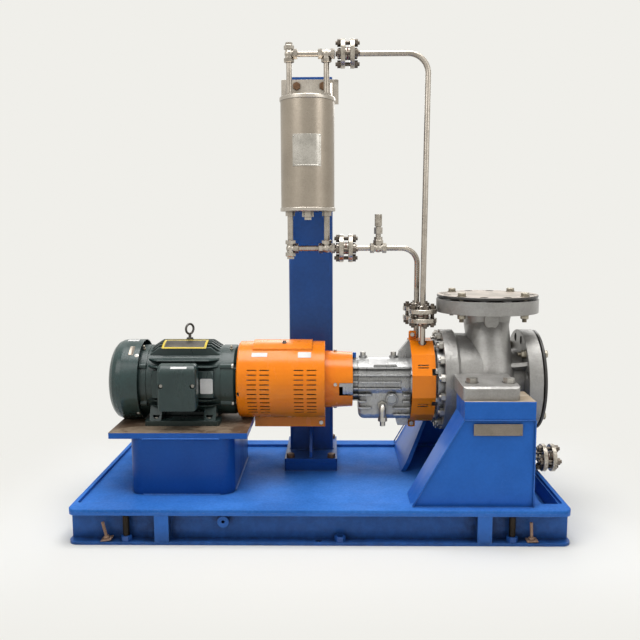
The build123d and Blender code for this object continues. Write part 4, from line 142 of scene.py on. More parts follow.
def build_edge_wear():
    """Softly rounded normal of every edge, and a mask of the edges that rubbing has laid bare."""
    group, entry, end = new_group("edge_wear", [("Amount", 0.5), ("Grain", 60.0), ("Radius", 0.002)],
                                  ["Mask", "Normal"])
    bevel = group.nodes.new("ShaderNodeBevel")
    bevel.samples = 3
    join(group, entry.outputs["Radius"], bevel.inputs["Radius"])
    flat = group.nodes.new("ShaderNodeNewGeometry").outputs["Normal"]
    agree = group.nodes.new("ShaderNodeVectorMath")
    agree.operation = "DOT_PRODUCT"
    join(group, bevel.outputs["Normal"], agree.inputs[0])
    join(group, flat, agree.inputs[1])
    edge = spread(group, agree.outputs["Value"], 0.80, 0.985, 1.0, 0.0)
    patches = spread(group, noise(group, entry.outputs["Grain"], 6.0, 0.65), 0.46, 0.62)
    worn = times(group, edge, patches)
    join(group, times(group, worn, entry.outputs["Amount"], True), end.inputs["Mask"])
    join(group, bevel.outputs["Normal"], end.inputs["Normal"])
    return group


def build_grime_and_shade():
    """Mask of painted shade in corners, round the feet of bolts and under ledges, made patchy like grime."""
    group, entry, end = new_group("grime_and_shade", [("Amount", 0.5), ("Reach", 0.03)], ["Mask"])
    shade = group.nodes.new("ShaderNodeAmbientOcclusion")
    shade.samples = 6
    join(group, entry.outputs["Reach"], shade.inputs["Distance"])
    # Ambient occlusion darkens hidden corners here: painted shade.
    corner = spread(group, shade.outputs["AO"], 0.30, 0.88, 1.0, 0.0)
    patches = spread(group, noise(group, 38.0, 5.0, 0.6), 0.3, 0.62, 0.65, 1.0)
    kept = times(group, corner, patches)
    join(group, times(group, kept, entry.outputs["Amount"], True), end.inputs["Mask"])
    return group


def build_dust():
    """Mask of dust that lies on upward faces, thicker in low patches of noise."""
    group, entry, end = new_group("dust", [("Amount", 0.3), ("Patch", 14.0)], ["Mask"])
    facing = axes(group, group.nodes.new("ShaderNodeNewGeometry").outputs["Normal"])
    upward = spread(group, facing["Z"], 0.55, 1.0)
    patch = spread(group, noise(group, entry.outputs["Patch"], 8.0, 0.6), 0.38, 0.66)
    fine = spread(group, noise(group, 320.0, 2.0, 0.5), 0.35, 0.65, 0.5, 1.0)
    lying = times(group, times(group, upward, patch), fine)
    join(group, times(group, lying, entry.outputs["Amount"], True), end.inputs["Mask"])
    return group


def build_mottle():
    """Slow and fine variation of a painted or cast surface: one factor for colour, one for gloss."""
    group, entry, end = new_group("mottle", [("Size", 9.0), ("Fine", 130.0)], ["Tone", "Gloss"])
    slow = spread(group, noise(group, entry.outputs["Size"], 5.0, 0.6), 0.3, 0.7)
    fine = spread(group, noise(group, entry.outputs["Fine"], 3.0, 0.6), 0.3, 0.7)
    mixed = math_node(group, "MULTIPLY_ADD", fine, 0.35)
    join(group, times(group, slow, 0.65), mixed.node.inputs[2])
    join(group, mixed, end.inputs["Tone"])
    smear = spread(group, noise(group, entry.outputs["Size"], 7.0, 0.7, (1.0, 1.0, 0.35)), 0.35, 0.7)
    join(group, smear, end.inputs["Gloss"])
    return group


def build_cast_skin():
    """Height of a cast skin under paint: pits, lumps and fine grain."""
    group, entry, end = new_group("cast_skin", [("Grain", 420.0), ("Lumps", 60.0)], ["Height"])
    grain = noise(group, entry.outputs["Grain"], 3.0, 0.6)
    lumps = noise(group, entry.outputs["Lumps"], 4.0, 0.5)
    join(group, math_node(group, "ADD", times(group, grain, 0.5), lumps), end.inputs["Height"])
    return group


def build_scuffs():
    """Mask of thin scratches in two directions, kept to a few patches."""
    group, entry, end = new_group("scuffs", [("Amount", 0.5), ("Size", 26.0)], ["Mask"])
    first = spread(group, noise(group, entry.outputs["Size"], 2.0, 0.5, (1.0, 9.0, 9.0), 1.4), 0.492, 0.5)
    back = spread(group, noise(group, entry.outputs["Size"], 2.0, 0.5, (1.0, 9.0, 9.0), 1.4), 0.5, 0.508, 1.0, 0.0)
    line = times(group, first, back)
    patch = spread(group, noise(group, 5.0, 3.0, 0.5), 0.52, 0.66)
    kept = times(group, line, patch)
    join(group, times(group, kept, entry.outputs["Amount"], True), end.inputs["Mask"])
    return group


def build_machined():
    """Mask of a machined top face: the part of the piece above a height that faces up."""
    group, entry, end = new_group("machined", [("Height", 1.0)], ["Mask", "Tone"])
    above = math_node(group, "GREATER_THAN", axes(group, place_in_object(group))["Z"], entry.outputs["Height"])
    facing = axes(group, group.nodes.new("ShaderNodeNewGeometry").outputs["Normal"])
    upward = math_node(group, "GREATER_THAN", facing["Z"], 0.8)
    join(group, times(group, above, upward), end.inputs["Mask"])
    rust = spread(group, noise(group, 11.0, 8.0, 0.68), 0.42, 0.62)
    streak = spread(group, noise(group, 30.0, 4.0, 0.6, (1.0, 12.0, 1.0)), 0.35, 0.65, 0.0, 0.5)
    join(group, math_node(group, "ADD", rust, streak, True), end.inputs["Tone"])
    return group


def build_inner_face():
    """Mask of a guard's inner side and slot edges, the faces that look back at the shaft, which take painted shade.
    """
    group, entry, end = new_group("inner_face", [("Axis height", SHAFT_Z)], ["Mask"])
    place = axes(group, place_in_object(group))
    facing = axes(group, group.nodes.new("ShaderNodeNewGeometry").outputs["True Normal"])
    across = times(group, place["Y"], facing["Y"])
    upward = times(group, math_node(group, "SUBTRACT", place["Z"], entry.outputs[0]), facing["Z"])
    outward = math_node(group, "ADD", across, upward)
    join(group, math_node(group, "LESS_THAN", outward, -0.001), end.inputs["Mask"])
    return group


def build_brushed():
    """Height of a fine grind or brush mark; the stretch sets its direction."""
    group, entry, end = new_group("brushed", [("Along X", 1.0), ("Along Y", 1.0), ("Along Z", 1.0)], ["Height"])
    stretch = group.nodes.new("ShaderNodeCombineXYZ")
    for label, socket in zip(("X", "Y", "Z"), entry.outputs):
        join(group, socket, stretch.inputs[label])
    scaled = group.nodes.new("ShaderNodeVectorMath")
    scaled.operation = "MULTIPLY"
    join(group, place_in_object(group), scaled.inputs[0])
    join(group, stretch.outputs[0], scaled.inputs[1])
    texture = group.nodes.new("ShaderNodeTexNoise")
    texture.inputs["Scale"].default_value = 34.0
    texture.inputs["Detail"].default_value = 5.0
    texture.inputs["Roughness"].default_value = 0.7
    join(group, scaled.outputs[0], texture.inputs["Vector"])
    join(group, texture.outputs["Fac"], end.inputs["Height"])
    return group


GROUPS = {}
for build in (build_edge_wear, build_grime_and_shade, build_dust, build_mottle, build_cast_skin, build_scuffs, build_machined,
              build_inner_face, build_brushed):
    made = build()
    GROUPS[made.name] = made


def add_group(tree, name, **values):
    """Places a shader group in a material with its own values."""
    node = tree.nodes.new("ShaderNodeGroup")
    node.node_tree = GROUPS[name]
    for label, value in values.items():
        node.inputs[label.replace("_", " ")].default_value = value
    return node


def blend_colours(tree, factor, first, second):
    """Mixes two colours; each is a socket or an (r, g, b) colour."""
    node = tree.nodes.new("ShaderNodeMix")
    node.data_type = "RGBA"
    join(tree, factor, node.inputs["Factor"])
    for label, colour in (("A", first), ("B", second)):
        socket = [s for s in node.inputs if s.name == label and s.type == "RGBA"][0]
        if isinstance(colour, tuple):
            socket.default_value = (*colour, 1.0)
        else:
            join(tree, colour, socket)
    return [s for s in node.outputs if s.type == "RGBA"][0]


def blend_values(tree, factor, first, second):
    """Mixes two numbers or value sockets."""
    node = tree.nodes.new("ShaderNodeMix")
    node.data_type = "FLOAT"
    join(tree, factor, node.inputs["Factor"])
    for place, value in ((2, first), (3, second)):
        feed(tree, value, node.inputs[place])
    return node.outputs[0]


def new_material(name):
    """An empty Principled material and its tree and shader."""
    material = bpy.data.materials.new(name)
    material.use_nodes = True
    tree = material.node_tree
    return material, tree, tree.nodes["Principled BSDF"]


def bump(tree, shader, height, strength, distance, edge_normal=None):
    """Feeds a height through a Bump node, over the rounded edges if any, to the shader's normal."""
    node = tree.nodes.new("ShaderNodeBump")
    node.inputs["Strength"].default_value = strength
    node.inputs["Distance"].default_value = distance
    join(tree, height, node.inputs["Height"])
    if edge_normal:
        join(tree, edge_normal, node.inputs["Normal"])
    join(tree, node.outputs["Normal"], shader.inputs["Normal"])


def paint(name, colour, dark, rough=(0.28, 0.42), coat=0.25, cast=0.0, wear=0.5, bare=(0.30, 0.30, 0.31),
          dust=0.25, scuff=0.25, dust_colour=(0.45, 0.43, 0.40), wave=0.12, mottle=(9.0, 130.0),
          round_radius=0.002, machined=None, metallic=0.0, specular=0.5, inside=None, grime_and_shade=0.6,
          reach=0.03):
    """Sprayed paint with uneven tone, rubbed edges, dust on top and a cast or plate skin below."""
    material, tree, shader = new_material(name)
    tone = add_group(tree, "mottle", Size=mottle[0], Fine=mottle[1])
    base = blend_colours(tree, tone.outputs["Tone"], dark, colour)
    scratch = add_group(tree, "scuffs", Amount=scuff).outputs["Mask"]
    light = tuple(min(1.0, c * 1.5 + 0.08) for c in colour)
    base = blend_colours(tree, scratch, base, light)
    edges = add_group(tree, "edge_wear", Amount=wear, Radius=round_radius)
    base = blend_colours(tree, edges.outputs["Mask"], base, bare)
    lying = add_group(tree, "dust", Amount=dust).outputs["Mask"]
    base = blend_colours(tree, lying, base, dust_colour)
    # Corners, bolt feet and the undersides of ledges darken towards near black: painted shade, patchy like grime.
    dirt_and_shade = add_group(tree, "grime_and_shade", Amount=grime_and_shade, Reach=reach).outputs["Mask"]
    base = blend_colours(tree, dirt_and_shade, base, tuple(0.18 * c + 0.008 for c in dark))
    gloss = blend_values(tree, lying, spread(tree, tone.outputs["Gloss"], 0.0, 1.0, rough[0], rough[1]), 0.7)
    if machined:
        top = add_group(tree, "machined", Height=machined[0])
        rusted = blend_colours(tree, top.outputs["Tone"], machined[1], machined[2])
        base = blend_colours(tree, top.outputs["Mask"], base, rusted)
        gloss = blend_values(tree, top.outputs["Mask"], gloss, 0.5)
        join(tree, times(tree, top.outputs["Mask"], 0.4), shader.inputs["Metallic"])
    else:
        shader.inputs["Metallic"].default_value = metallic
    # Faces inside a guard, looking back at the shaft, take a near-black colour: painted shade.
    if inside:
        inner_shade_mask = add_group(tree, "inner_face").outputs["Mask"]
        base = blend_colours(tree, inner_shade_mask, base, inside)
    join(tree, base, shader.inputs["Base Color"])
    join(tree, gloss, shader.inputs["Roughness"])
    shader.inputs["Specular IOR Level"].default_value = specular
    shader.inputs["Coat Weight"].default_value = coat
    shader.inputs["Coat Roughness"].default_value = 0.18
    height = times(tree, noise(tree, 26.0, 3.0, 0.5), wave)
    if cast:
        skin = times(tree, add_group(tree, "cast_skin").outputs["Height"], cast)
    else:
        skin = times(tree, noise(tree, 520.0, 2.0, 0.5), 0.05)
    height = math_node(tree, "ADD", height, skin)
    bump(tree, shader, height, 0.55, 0.0022, edges.outputs["Normal"])
    return material


def metal(name, colour, dark, rough=(0.24, 0.40), brush=(1.0, 1.0, 1.0), relief=0.12, dust=0.1, stain=0.35,
          stain_colour=(0.22, 0.20, 0.18), metallic=1.0, mottle=(16.0, 220.0), round_radius=0.0008, grime_and_shade=0.6,
          painted=None):
    """Bare metal with brush marks, a faint stain and uneven gloss; paint covers it below a height."""
    material, tree, shader = new_material(name)
    tone = add_group(tree, "mottle", Size=mottle[0], Fine=mottle[1])
    base = blend_colours(tree, tone.outputs["Tone"], dark, colour)
    marks = add_group(tree, "brushed", Along_X=brush[0], Along_Y=brush[1], Along_Z=brush[2]).outputs["Height"]
    stained = spread(tree, noise(tree, 22.0, 7.0, 0.7), 0.56, 0.78, 0.0, stain)
    base = blend_colours(tree, stained, base, stain_colour)
    lying = add_group(tree, "dust", Amount=dust).outputs["Mask"]
    base = blend_colours(tree, lying, base, (0.45, 0.43, 0.40))
    # Corners and recesses darken towards near black: painted shade, patchy like grime.
    dirt_and_shade = add_group(tree, "grime_and_shade", Amount=grime_and_shade, Reach=0.012).outputs["Mask"]
    base = blend_colours(tree, dirt_and_shade, base, tuple(0.22 * c for c in dark))
    shader.inputs["Metallic"].default_value = metallic
    if painted:
        below = math_node(tree, "LESS_THAN", axes(tree, place_in_object(tree))["Z"], painted[0])
        base = blend_colours(tree, below, base, painted[1])
        join(tree, math_node(tree, "SUBTRACT", metallic, below, True), shader.inputs["Metallic"])
    join(tree, base, shader.inputs["Base Color"])
    streak = spread(tree, marks, 0.3, 0.7, rough[0], rough[1])
    uneven = blend_values(tree, tone.outputs["Gloss"], streak, rough[1] + 0.06)
    join(tree, blend_values(tree, stained, uneven, 0.55), shader.inputs["Roughness"])
    edges = add_group(tree, "edge_wear", Radius=round_radius)
    bump(tree, shader, marks, relief, 0.0006, edges.outputs["Normal"])
    return material


def plastic(name, colour, rough=0.4, grain=900.0):
    """Moulded plastic, rubber or carbon with a fine grain."""
    material, tree, shader = new_material(name)
    tone = add_group(tree, "mottle", Size=20.0, Fine=400.0)
    dark = tuple(c * 0.75 for c in colour)
    join(tree, blend_colours(tree, tone.outputs["Tone"], dark, colour), shader.inputs["Base Color"])
    join(tree, spread(tree, tone.outputs["Gloss"], 0.0, 1.0, rough - 0.06, rough + 0.08), shader.inputs["Roughness"])
    bump(tree, shader, noise(tree, grain, 2.0, 0.5), 0.2, 0.0003)
    return material


# Heights above which a painted plate's top face is bare machined metal
MOTOR_PLATE_TOP, PUMP_PAD_TOP, COVER_DISC_TOP = 0.3055, 0.4385, 0.70
JACKSCREW_NUT_TOP = 0.0255
PRIMED_BLUE = (0.25, 0.32, 0.42)
GREEN_DARK = (0.016, 0.034, 0.032)
GREEN_DUST = (0.20, 0.23, 0.22)

MATERIALS = {
    # The frame's corner darkening is strong and reaches 0.12 m so that the web under the flange reads dark: painted
    # shade.
    "blue_plate": paint(
        "blue_plate_paint", (0.040, 0.172, 0.58), (0.030, 0.140, 0.49), coat=0.10, specular=0.15, wear=0.6,
        bare=(0.22, 0.34, 0.50), dust=0.12, scuff=0.30, dust_colour=(0.08, 0.24, 0.60), wave=0.06, grime_and_shade=0.95,
        reach=0.12),
    # The deck pan's blue is lighter than the frame's: partly its own paint, partly painted light making up for the
    # shade of the pump and motor stand.
    "blue_deck": paint(
        "blue_deck_paint", (0.055, 0.215, 0.66), (0.026, 0.130, 0.45), rough=(0.42, 0.60), coat=0.0, specular=0.03,
        wear=0.5, bare=PRIMED_BLUE, dust=0.06, scuff=0.3, dust_colour=(0.12, 0.22, 0.42), wave=0.06,
        mottle=(5.0, 130.0), grime_and_shade=0.7),
    "blue_motor_stand": paint(
        "blue_motor_stand_paint", (0.011, 0.082, 0.335), (0.008, 0.066, 0.280), coat=0.05, specular=0.15, wear=0.5,
        bare=PRIMED_BLUE, dust=0.05, scuff=0.30, dust_colour=(0.10, 0.20, 0.42), wave=0.06),
    "blue_motor_plate": paint(
        "blue_motor_plate_paint", (0.018, 0.120, 0.46), (0.014, 0.098, 0.40), coat=0.05, specular=0.15, wear=0.6,
        bare=(0.20, 0.27, 0.38), dust=0.0, scuff=0.30, wave=0.06,
        machined=(MOTOR_PLATE_TOP, (0.36, 0.28, 0.20), (0.13, 0.085, 0.055))),
    "blue_pump_stand": paint(
        "blue_pump_stand_paint", (0.022, 0.150, 0.57), (0.017, 0.125, 0.49), coat=0.06, specular=0.15, wear=0.5,
        bare=PRIMED_BLUE, dust=0.08, scuff=0.30, dust_colour=(0.12, 0.24, 0.50), wave=0.06,
        machined=(PUMP_PAD_TOP, (0.62, 0.54, 0.43), (0.44, 0.35, 0.25))),
    "blue_column": paint(
        "blue_column_paint", (0.014, 0.088, 0.350), (0.009, 0.058, 0.240), coat=0.10, specular=0.3, wear=0.3,
        bare=PRIMED_BLUE, dust=0.2, scuff=0.25, dust_colour=(0.17, 0.25, 0.40), wave=0.08, mottle=(4.0, 90.0)),
    "silver_cast": paint(
        "silver_cast_paint", (0.39, 0.38, 0.362), (0.28, 0.27, 0.256), rough=(0.28, 0.46), coat=0.1, metallic=0.5,
        specular=0.4, cast=1.0, wear=0.6, bare=(0.14, 0.13, 0.12), dust=0.15, scuff=0.1, wave=0.5,
        mottle=(14.0, 150.0), grime_and_shade=0.65),
    "silver_frame": paint(
        "silver_frame_paint", (0.50, 0.50, 0.49), (0.36, 0.36, 0.355), rough=(0.24, 0.38), coat=0.1, metallic=0.5,
        specular=0.4, cast=0.6, wear=0.55, bare=(0.16, 0.15, 0.14), dust=0.15, scuff=0.1, mottle=(18.0, 200.0),
        grime_and_shade=0.95, reach=0.022),
    "green_cast": paint(
        "green_cast_paint", (0.023, 0.046, 0.043), GREEN_DARK, rough=(0.26, 0.42), coat=0.15, specular=0.4,
        cast=0.5, wear=0.35, bare=(0.12, 0.14, 0.14), dust=0.22, scuff=0.2, dust_colour=GREEN_DUST),
    "green_sheet": paint(
        "green_sheet_paint", (0.024, 0.058, 0.056), GREEN_DARK, rough=(0.20, 0.32), coat=0.2, specular=0.4,
        wear=0.2, dust=0.25, scuff=0.4, dust_colour=GREEN_DUST, wave=0.08),
    # The guard's inner faces and slot edges are near black: painted shade inside the guard.
    "orange_sheet": paint(
        "orange_sheet_paint", (0.98, 0.262, 0.007), (0.93, 0.230, 0.005), rough=(0.20, 0.31), coat=0.12,
        specular=0.28, inside=(0.035, 0.018, 0.010), wear=0.3, bare=(0.50, 0.26, 0.10), dust=0.06, scuff=0.2,
        dust_colour=(0.85, 0.50, 0.18), wave=0.10, grime_and_shade=0.5),
    "black_disc": paint(
        "black_disc_paint", (0.040, 0.036, 0.032), (0.020, 0.018, 0.016), coat=0.15, wear=0.8,
        bare=(0.20, 0.17, 0.14), dust=0.5, scuff=0.8, dust_colour=(0.24, 0.21, 0.17),
        machined=(COVER_DISC_TOP, (0.36, 0.30, 0.245), (0.20, 0.165, 0.13))),
    "stainless_shell": metal(
        "stainless_shell", (0.42, 0.365, 0.30), (0.32, 0.275, 0.225), (0.20, 0.38), (2.0, 2.0, 26.0), 0.2, 0.1, 0.2,
        (0.16, 0.13, 0.10), mottle=(6.0, 200.0)),
    "stainless_tube": metal(
        "stainless_tube", (0.52, 0.47, 0.41), (0.30, 0.265, 0.225), (0.16, 0.30), (14.0, 14.0, 4.0), 0.12, 0.06,
        0.35, (0.14, 0.115, 0.09)),
    "stainless_fitting": metal(
        "stainless_fitting", (0.62, 0.57, 0.50), (0.24, 0.21, 0.175), (0.14, 0.30), (6.0, 6.0, 6.0), 0.16, 0.06,
        0.5, (0.10, 0.08, 0.06), mottle=(40.0, 220.0), grime_and_shade=0.85),
    "stainless_plate": metal(
        "stainless_plate", (0.60, 0.55, 0.49), (0.40, 0.36, 0.31), (0.16, 0.32), (3.0, 24.0, 24.0), 0.14, 0.08,
        0.35, (0.16, 0.13, 0.10), grime_and_shade=0.85),
    "zinc": metal(
        "zinc_plated_steel", (0.60, 0.58, 0.54), (0.33, 0.315, 0.285), (0.20, 0.38), (9.0, 9.0, 9.0), 0.2, 0.2, 0.6,
        (0.17, 0.12, 0.08)),
    "line_bolt": metal(
        "dark_line_bolts", (0.24, 0.205, 0.17), (0.085, 0.070, 0.058), (0.30, 0.5), (9.0, 9.0, 9.0), 0.2, 0.2, 0.8,
        (0.20, 0.085, 0.035)),
    "jackscrew": metal(
        "jackscrew_steel", (0.050, 0.040, 0.031), (0.018, 0.015, 0.013), (0.34, 0.5), (8.0, 8.0, 8.0), 0.2, 0.0,
        0.7, (0.12, 0.055, 0.025), painted=(JACKSCREW_NUT_TOP, (0.012, 0.074, 0.290))),
    "black_bolt": metal(
        "oiled_black_steel", (0.16, 0.15, 0.14), (0.07, 0.068, 0.065), (0.34, 0.5), (8.0, 8.0, 8.0), 0.2, 0.3, 0.6,
        (0.16, 0.09, 0.05)),
    "rusty_bolt": metal(
        "rusted_bracket_bolts", (0.24, 0.135, 0.070), (0.11, 0.058, 0.032), (0.4, 0.6), (9.0, 9.0, 9.0), 0.25, 0.2,
        0.8, (0.20, 0.085, 0.03), metallic=0.6),
    # Coupling parts inside the guard are far darker than ground steel: painted shade for the dark seen through the
    # slots.
    "shaded_coupling_steel": metal(
        "coupling_steel_painted_shade", (0.20, 0.195, 0.185), (0.12, 0.115, 0.105), (0.22, 0.36), (22.0, 1.0, 1.0), 0.08,
        0.0, 0.3, (0.10, 0.08, 0.06)),
    "ground_steel": metal(
        "ground_steel", (0.60, 0.60, 0.59), (0.50, 0.50, 0.49), (0.16, 0.28), (22.0, 1.0, 1.0), 0.08, 0.0, 0.15),
    "winding": paint(
        "winding_varnish", (0.30, 0.11, 0.05), (0.20, 0.06, 0.03), wear=0.1, dust=0.1, scuff=0.0, cast=0.3),
    "fan_aluminium": metal(
        "cast_aluminium", (0.66, 0.66, 0.66), (0.52, 0.52, 0.52), (0.34, 0.5), (5.0, 5.0, 5.0), 0.2, 0.2, 0.2),
    "gasket": plastic("gasket_fibre", (0.25, 0.05, 0.035), 0.6, 500.0),
    "blue_cap": plastic("blue_cap_plastic", (0.01, 0.16, 0.66), 0.32),
    "carbon": plastic("seal_carbon", (0.03, 0.03, 0.032), 0.3),
    "old_zinc": metal(
        "yellowed_zinc_bolts", (0.50, 0.465, 0.39), (0.27, 0.24, 0.19), (0.28, 0.48), (9.0, 9.0, 9.0), 0.2, 0.2,
        0.6, (0.26, 0.18, 0.10)),
    "bright_plate": metal(
        "bright_plate_steel", (0.58, 0.55, 0.50), (0.34, 0.32, 0.285), (0.12, 0.26), (26.0, 26.0, 1.0), 0.10, 0.0,
        0.1, grime_and_shade=0.9),
    "bare_label": plastic("bare_label_film", (0.80, 0.79, 0.77), 0.34, 1400.0),
    "yellow_frame": plastic("yellow_plate_border", (0.75, 0.56, 0.05), 0.36, 1400.0),
    "dark_plate": metal(
        "dark_bare_plate", (0.13, 0.12, 0.10), (0.07, 0.066, 0.06), (0.30, 0.42), (2.0, 30.0, 2.0), 0.05, 0.1, 0.3),
    "rusty_steel": metal(
        "rusty_shipping_screws", (0.46, 0.31, 0.23), (0.18, 0.10, 0.06), (0.5, 0.75), (9.0, 9.0, 9.0), 0.3, 0.2,
        0.8, (0.34, 0.13, 0.04), metallic=0.4),
    "bare_plate_steel": metal(
        "bare_plate_steel", (0.27, 0.235, 0.20), (0.19, 0.165, 0.135), (0.26, 0.38), (2.0, 2.0, 40.0), 0.06, 0.05,
        0.2),
}


def sight_glass_material():
    """Clear glass over a pale oil reading disc."""
    material, tree, shader = new_material("oil_sight_glass")
    shader.inputs["Base Color"].default_value = (0.86, 0.88, 0.86, 1.0)
    shader.inputs["Transmission Weight"].default_value = 0.6
    shader.inputs["IOR"].default_value = 1.5
    smear = spread(tree, noise(tree, 90.0, 4.0, 0.6), 0.4, 0.7, 0.04, 0.16)
    join(tree, smear, shader.inputs["Roughness"])
    return material


MATERIALS["glass"] = sight_glass_material()

FINISH = {
    "blue_plate": "base_frame",
    "blue_deck": "deck_pan",
    "blue_motor_stand": "motor_pedestal",
    "blue_motor_plate": "motor_plate",
    "blue_pump_stand": "pump_pedestals",
    "blue_column": "cooler_column",
    "jackscrew": "jackscrews",
    "rusty_bolt": "column_bolts",
    "stainless_shell": "cooler_shell",
    "stainless_plate": "cooler_bracket cooler_heads gland_plate",
    "stainless_tube": "cooler_coils manifold_tubes return_line supply_line drain_line",
    "stainless_fitting": "tube_tees vent_valve line_flanges impeller impeller_nut",
    "line_bolt": "line_bolting",
    "gasket": "gaskets",
    "black_disc": "nozzle_covers",
    "silver_cast": "pump_casing seal_chamber_cover",
    "silver_frame": "bearing_covers bearing_housing",
    "zinc": "pump_foot_bolts casing_bolting pump_screws oil_fittings guard_screws motor_screws",
    "carbon": "seal_seat",
    "ground_steel": "seal_head pump_shaft wear_ring bearing_outer_rings pump_bearings motor_bearings motor_rotor",
    "glass": "oil_sight_glass",
    "blue_cap": "breather_cap",
    "shaded_coupling_steel": "pump_hub motor_hub coupling_spacer disc_packs coupling_bolts",
    "orange_sheet": "coupling_guard guard_sleeve shaft_guard",
    "green_cast": "motor_frame conduit_box motor_end_bells",
    "green_sheet": "fan_cover",
    "winding": "motor_stator",
    "fan_aluminium": "motor_fan",
    "black_bolt": "lifting_eye",
}


def finish_node(name, finish):
    """Gives a node its material in place of the imported one."""
    mesh = nodes[name].data
    mesh.materials.clear()
    mesh.materials.append(MATERIALS[finish])


for finish, names in FINISH.items():
    for name in names.split():
        finish_node(name, finish)


def on_barrel(radius, angle):
    """Y and Z of a point on a cylinder round the shaft; 90 degrees is up and 180 the front."""
    return radius * math.cos(math.radians(angle)), SHAFT_Z + radius * math.sin(math.radians(angle))


def radial(angle):
    """Outward direction on a cylinder round the shaft."""
    return (0.0, math.cos(math.radians(angle)), math.sin(math.radians(angle)))


def deselect():
    """Object mode with nothing selected."""
    if bpy.context.object and bpy.context.object.mode != "OBJECT":
        bpy.ops.object.mode_set(mode="OBJECT")
    bpy.ops.object.select_all(action="DESELECT")


def pick(piece, kind, test):
    """Edit mode with only the faces, edges or vertices that pass the test selected."""
    bpy.context.view_layer.objects.active = piece
    piece.select_set(True)
    bpy.ops.object.mode_set(mode="EDIT")
    bpy.ops.mesh.select_mode(type=kind)
    bpy.ops.mesh.select_all(action="DESELECT")
    bpy.ops.object.mode_set(mode="OBJECT")
    items = {"FACE": piece.data.polygons, "EDGE": piece.data.edges, "VERT": piece.data.vertices}[kind]
    for item in items:
        item.select = bool(test(item))
    bpy.ops.object.mode_set(mode="EDIT")


def leave():
    """Back to object mode."""
    bpy.ops.object.mode_set(mode="OBJECT")


def settle(piece):
    """Puts the piece's place, turn and size into its mesh."""
    deselect()
    piece.select_set(True)
    bpy.context.view_layer.objects.active = piece
    bpy.ops.object.transform_apply(location=True, rotation=True, scale=True)


def aimed(piece, place, direction):
    """Turns a piece that was modelled upright to a direction and puts it in place."""
    piece.rotation_mode = "QUATERNION"
    piece.rotation_quaternion = Vector(UP).rotation_difference(Vector(direction).normalized())
    piece.location = place
    settle(piece)
    piece.rotation_mode = "XYZ"
    return piece


def rounded(piece, width, angle=35.0):
    """Rounds the piece's sharp edges and applies it."""
    bpy.context.view_layer.objects.active = piece
    modifier = piece.modifiers.new("round", "BEVEL")
    modifier.width = width
    modifier.segments = 2
    modifier.limit_method = "ANGLE"
    modifier.angle_limit = math.radians(angle)
    bpy.ops.object.modifier_apply(modifier=modifier.name)
    return piece


def slab(low, high, round_width=0.0):
    """A plate or block between two corners, with rounded edges."""
    deselect()
    size = [h - l for l, h in zip(low, high)]
    bpy.ops.mesh.primitive_cube_add(size=1.0, location=[(l + h) / 2 for l, h in zip(low, high)])
    piece = bpy.context.object
    piece.scale = size
    settle(piece)
    if round_width:
        rounded(piece, round_width)
    return piece


def stepped_round(steps, sides=32, place=(0.0, 0.0, 0.0), direction=UP):
    """A round turned piece: a disc extruded and resized along its axis through (radius, rise) steps."""
    deselect()
    bpy.ops.mesh.primitive_circle_add(vertices=sides, radius=steps[0][0], fill_type="NGON",
                                      location=(0.0, 0.0, steps[0][1]))
    piece = bpy.context.object
    settle(piece)
    pick(piece, "FACE", lambda face: True)
    bpy.ops.mesh.normals_make_consistent(inside=False)
    last_radius, last_rise = steps[0]
    for radius, rise in steps[1:]:
        bpy.ops.mesh.extrude_region_move(TRANSFORM_OT_translate={"value": (0.0, 0.0, rise - last_rise)})
        if radius != last_radius:
            factor = radius / last_radius
            bpy.ops.transform.resize(value=(factor, factor, 1.0), center_override=(0.0, 0.0, rise))
        last_radius, last_rise = radius, rise
    bpy.ops.mesh.select_all(action="SELECT")
    bpy.ops.mesh.normals_make_consistent(inside=False)
    leave()
    return aimed(piece, place, direction)


HEXAGON_ROUNDING = 0.0008


def hexagon(flats, height, place, direction, spin=0.0):
    """A hexagon head or nut: six-sided prism, its top drawn in to a chamfer."""
    corner = flats / 2 / math.cos(math.pi / 6)
    piece = stepped_round([(corner, 0.0), (corner, height * 0.86), (flats * 0.47, height)], 6)
    piece.rotation_euler = (0.0, 0.0, spin)
    settle(piece)
    rounded(piece, HEXAGON_ROUNDING, 25.0)
    return aimed(piece, place, direction)


def threaded(radius, length, pitch, place, direction, sides=20):
    """A screw end with a groove cut at every pitch."""
    steps = [(radius * 0.72, 0.0), (radius * 0.96, pitch * 0.5)]
    rise = pitch * 0.5
    while rise + pitch < length:
        steps += [(radius * 0.86, rise + pitch * 0.45), (radius, rise + pitch)]
        rise += pitch
    steps += [(radius, length)]
    return stepped_round(steps, sides, place, direction)


def joined(pieces, name):
    """Joins pieces into one named mesh."""
    deselect()
    for piece in pieces:
        piece.select_set(True)
    bpy.context.view_layer.objects.active = pieces[0]
    if len(pieces) > 1:
        bpy.ops.object.join()
    piece = bpy.context.object
    piece.name = name
    piece.data.name = name
    return piece


def copied(piece, matrix):
    """A copy with its own mesh, moved by the matrix."""
    twin = piece.copy()
    twin.data = piece.data.copy()
    scene.collection.objects.link(twin)
    twin.data.transform(matrix)
    return twin


def place_piece(pieces, name, finish, angle=30.0):
    """Joins finished pieces under one name, on the standing body: shading and material."""
    piece = joined(pieces, name)
    bpy.ops.object.shade_smooth_by_angle(angle=math.radians(angle))
    piece.data.materials.clear()
    piece.data.materials.append(MATERIALS[finish])
    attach(piece, "base_set")


BOLT_CIRCLE_RADIUS = 0.14605
DISCHARGE_X, DISCHARGE_COVER_TOP = 0.572, 0.735
SUCTION_COVER_X = 0.741
COVER_AND_GASKET, FLANGE_THICKNESS = 0.011, 0.0478


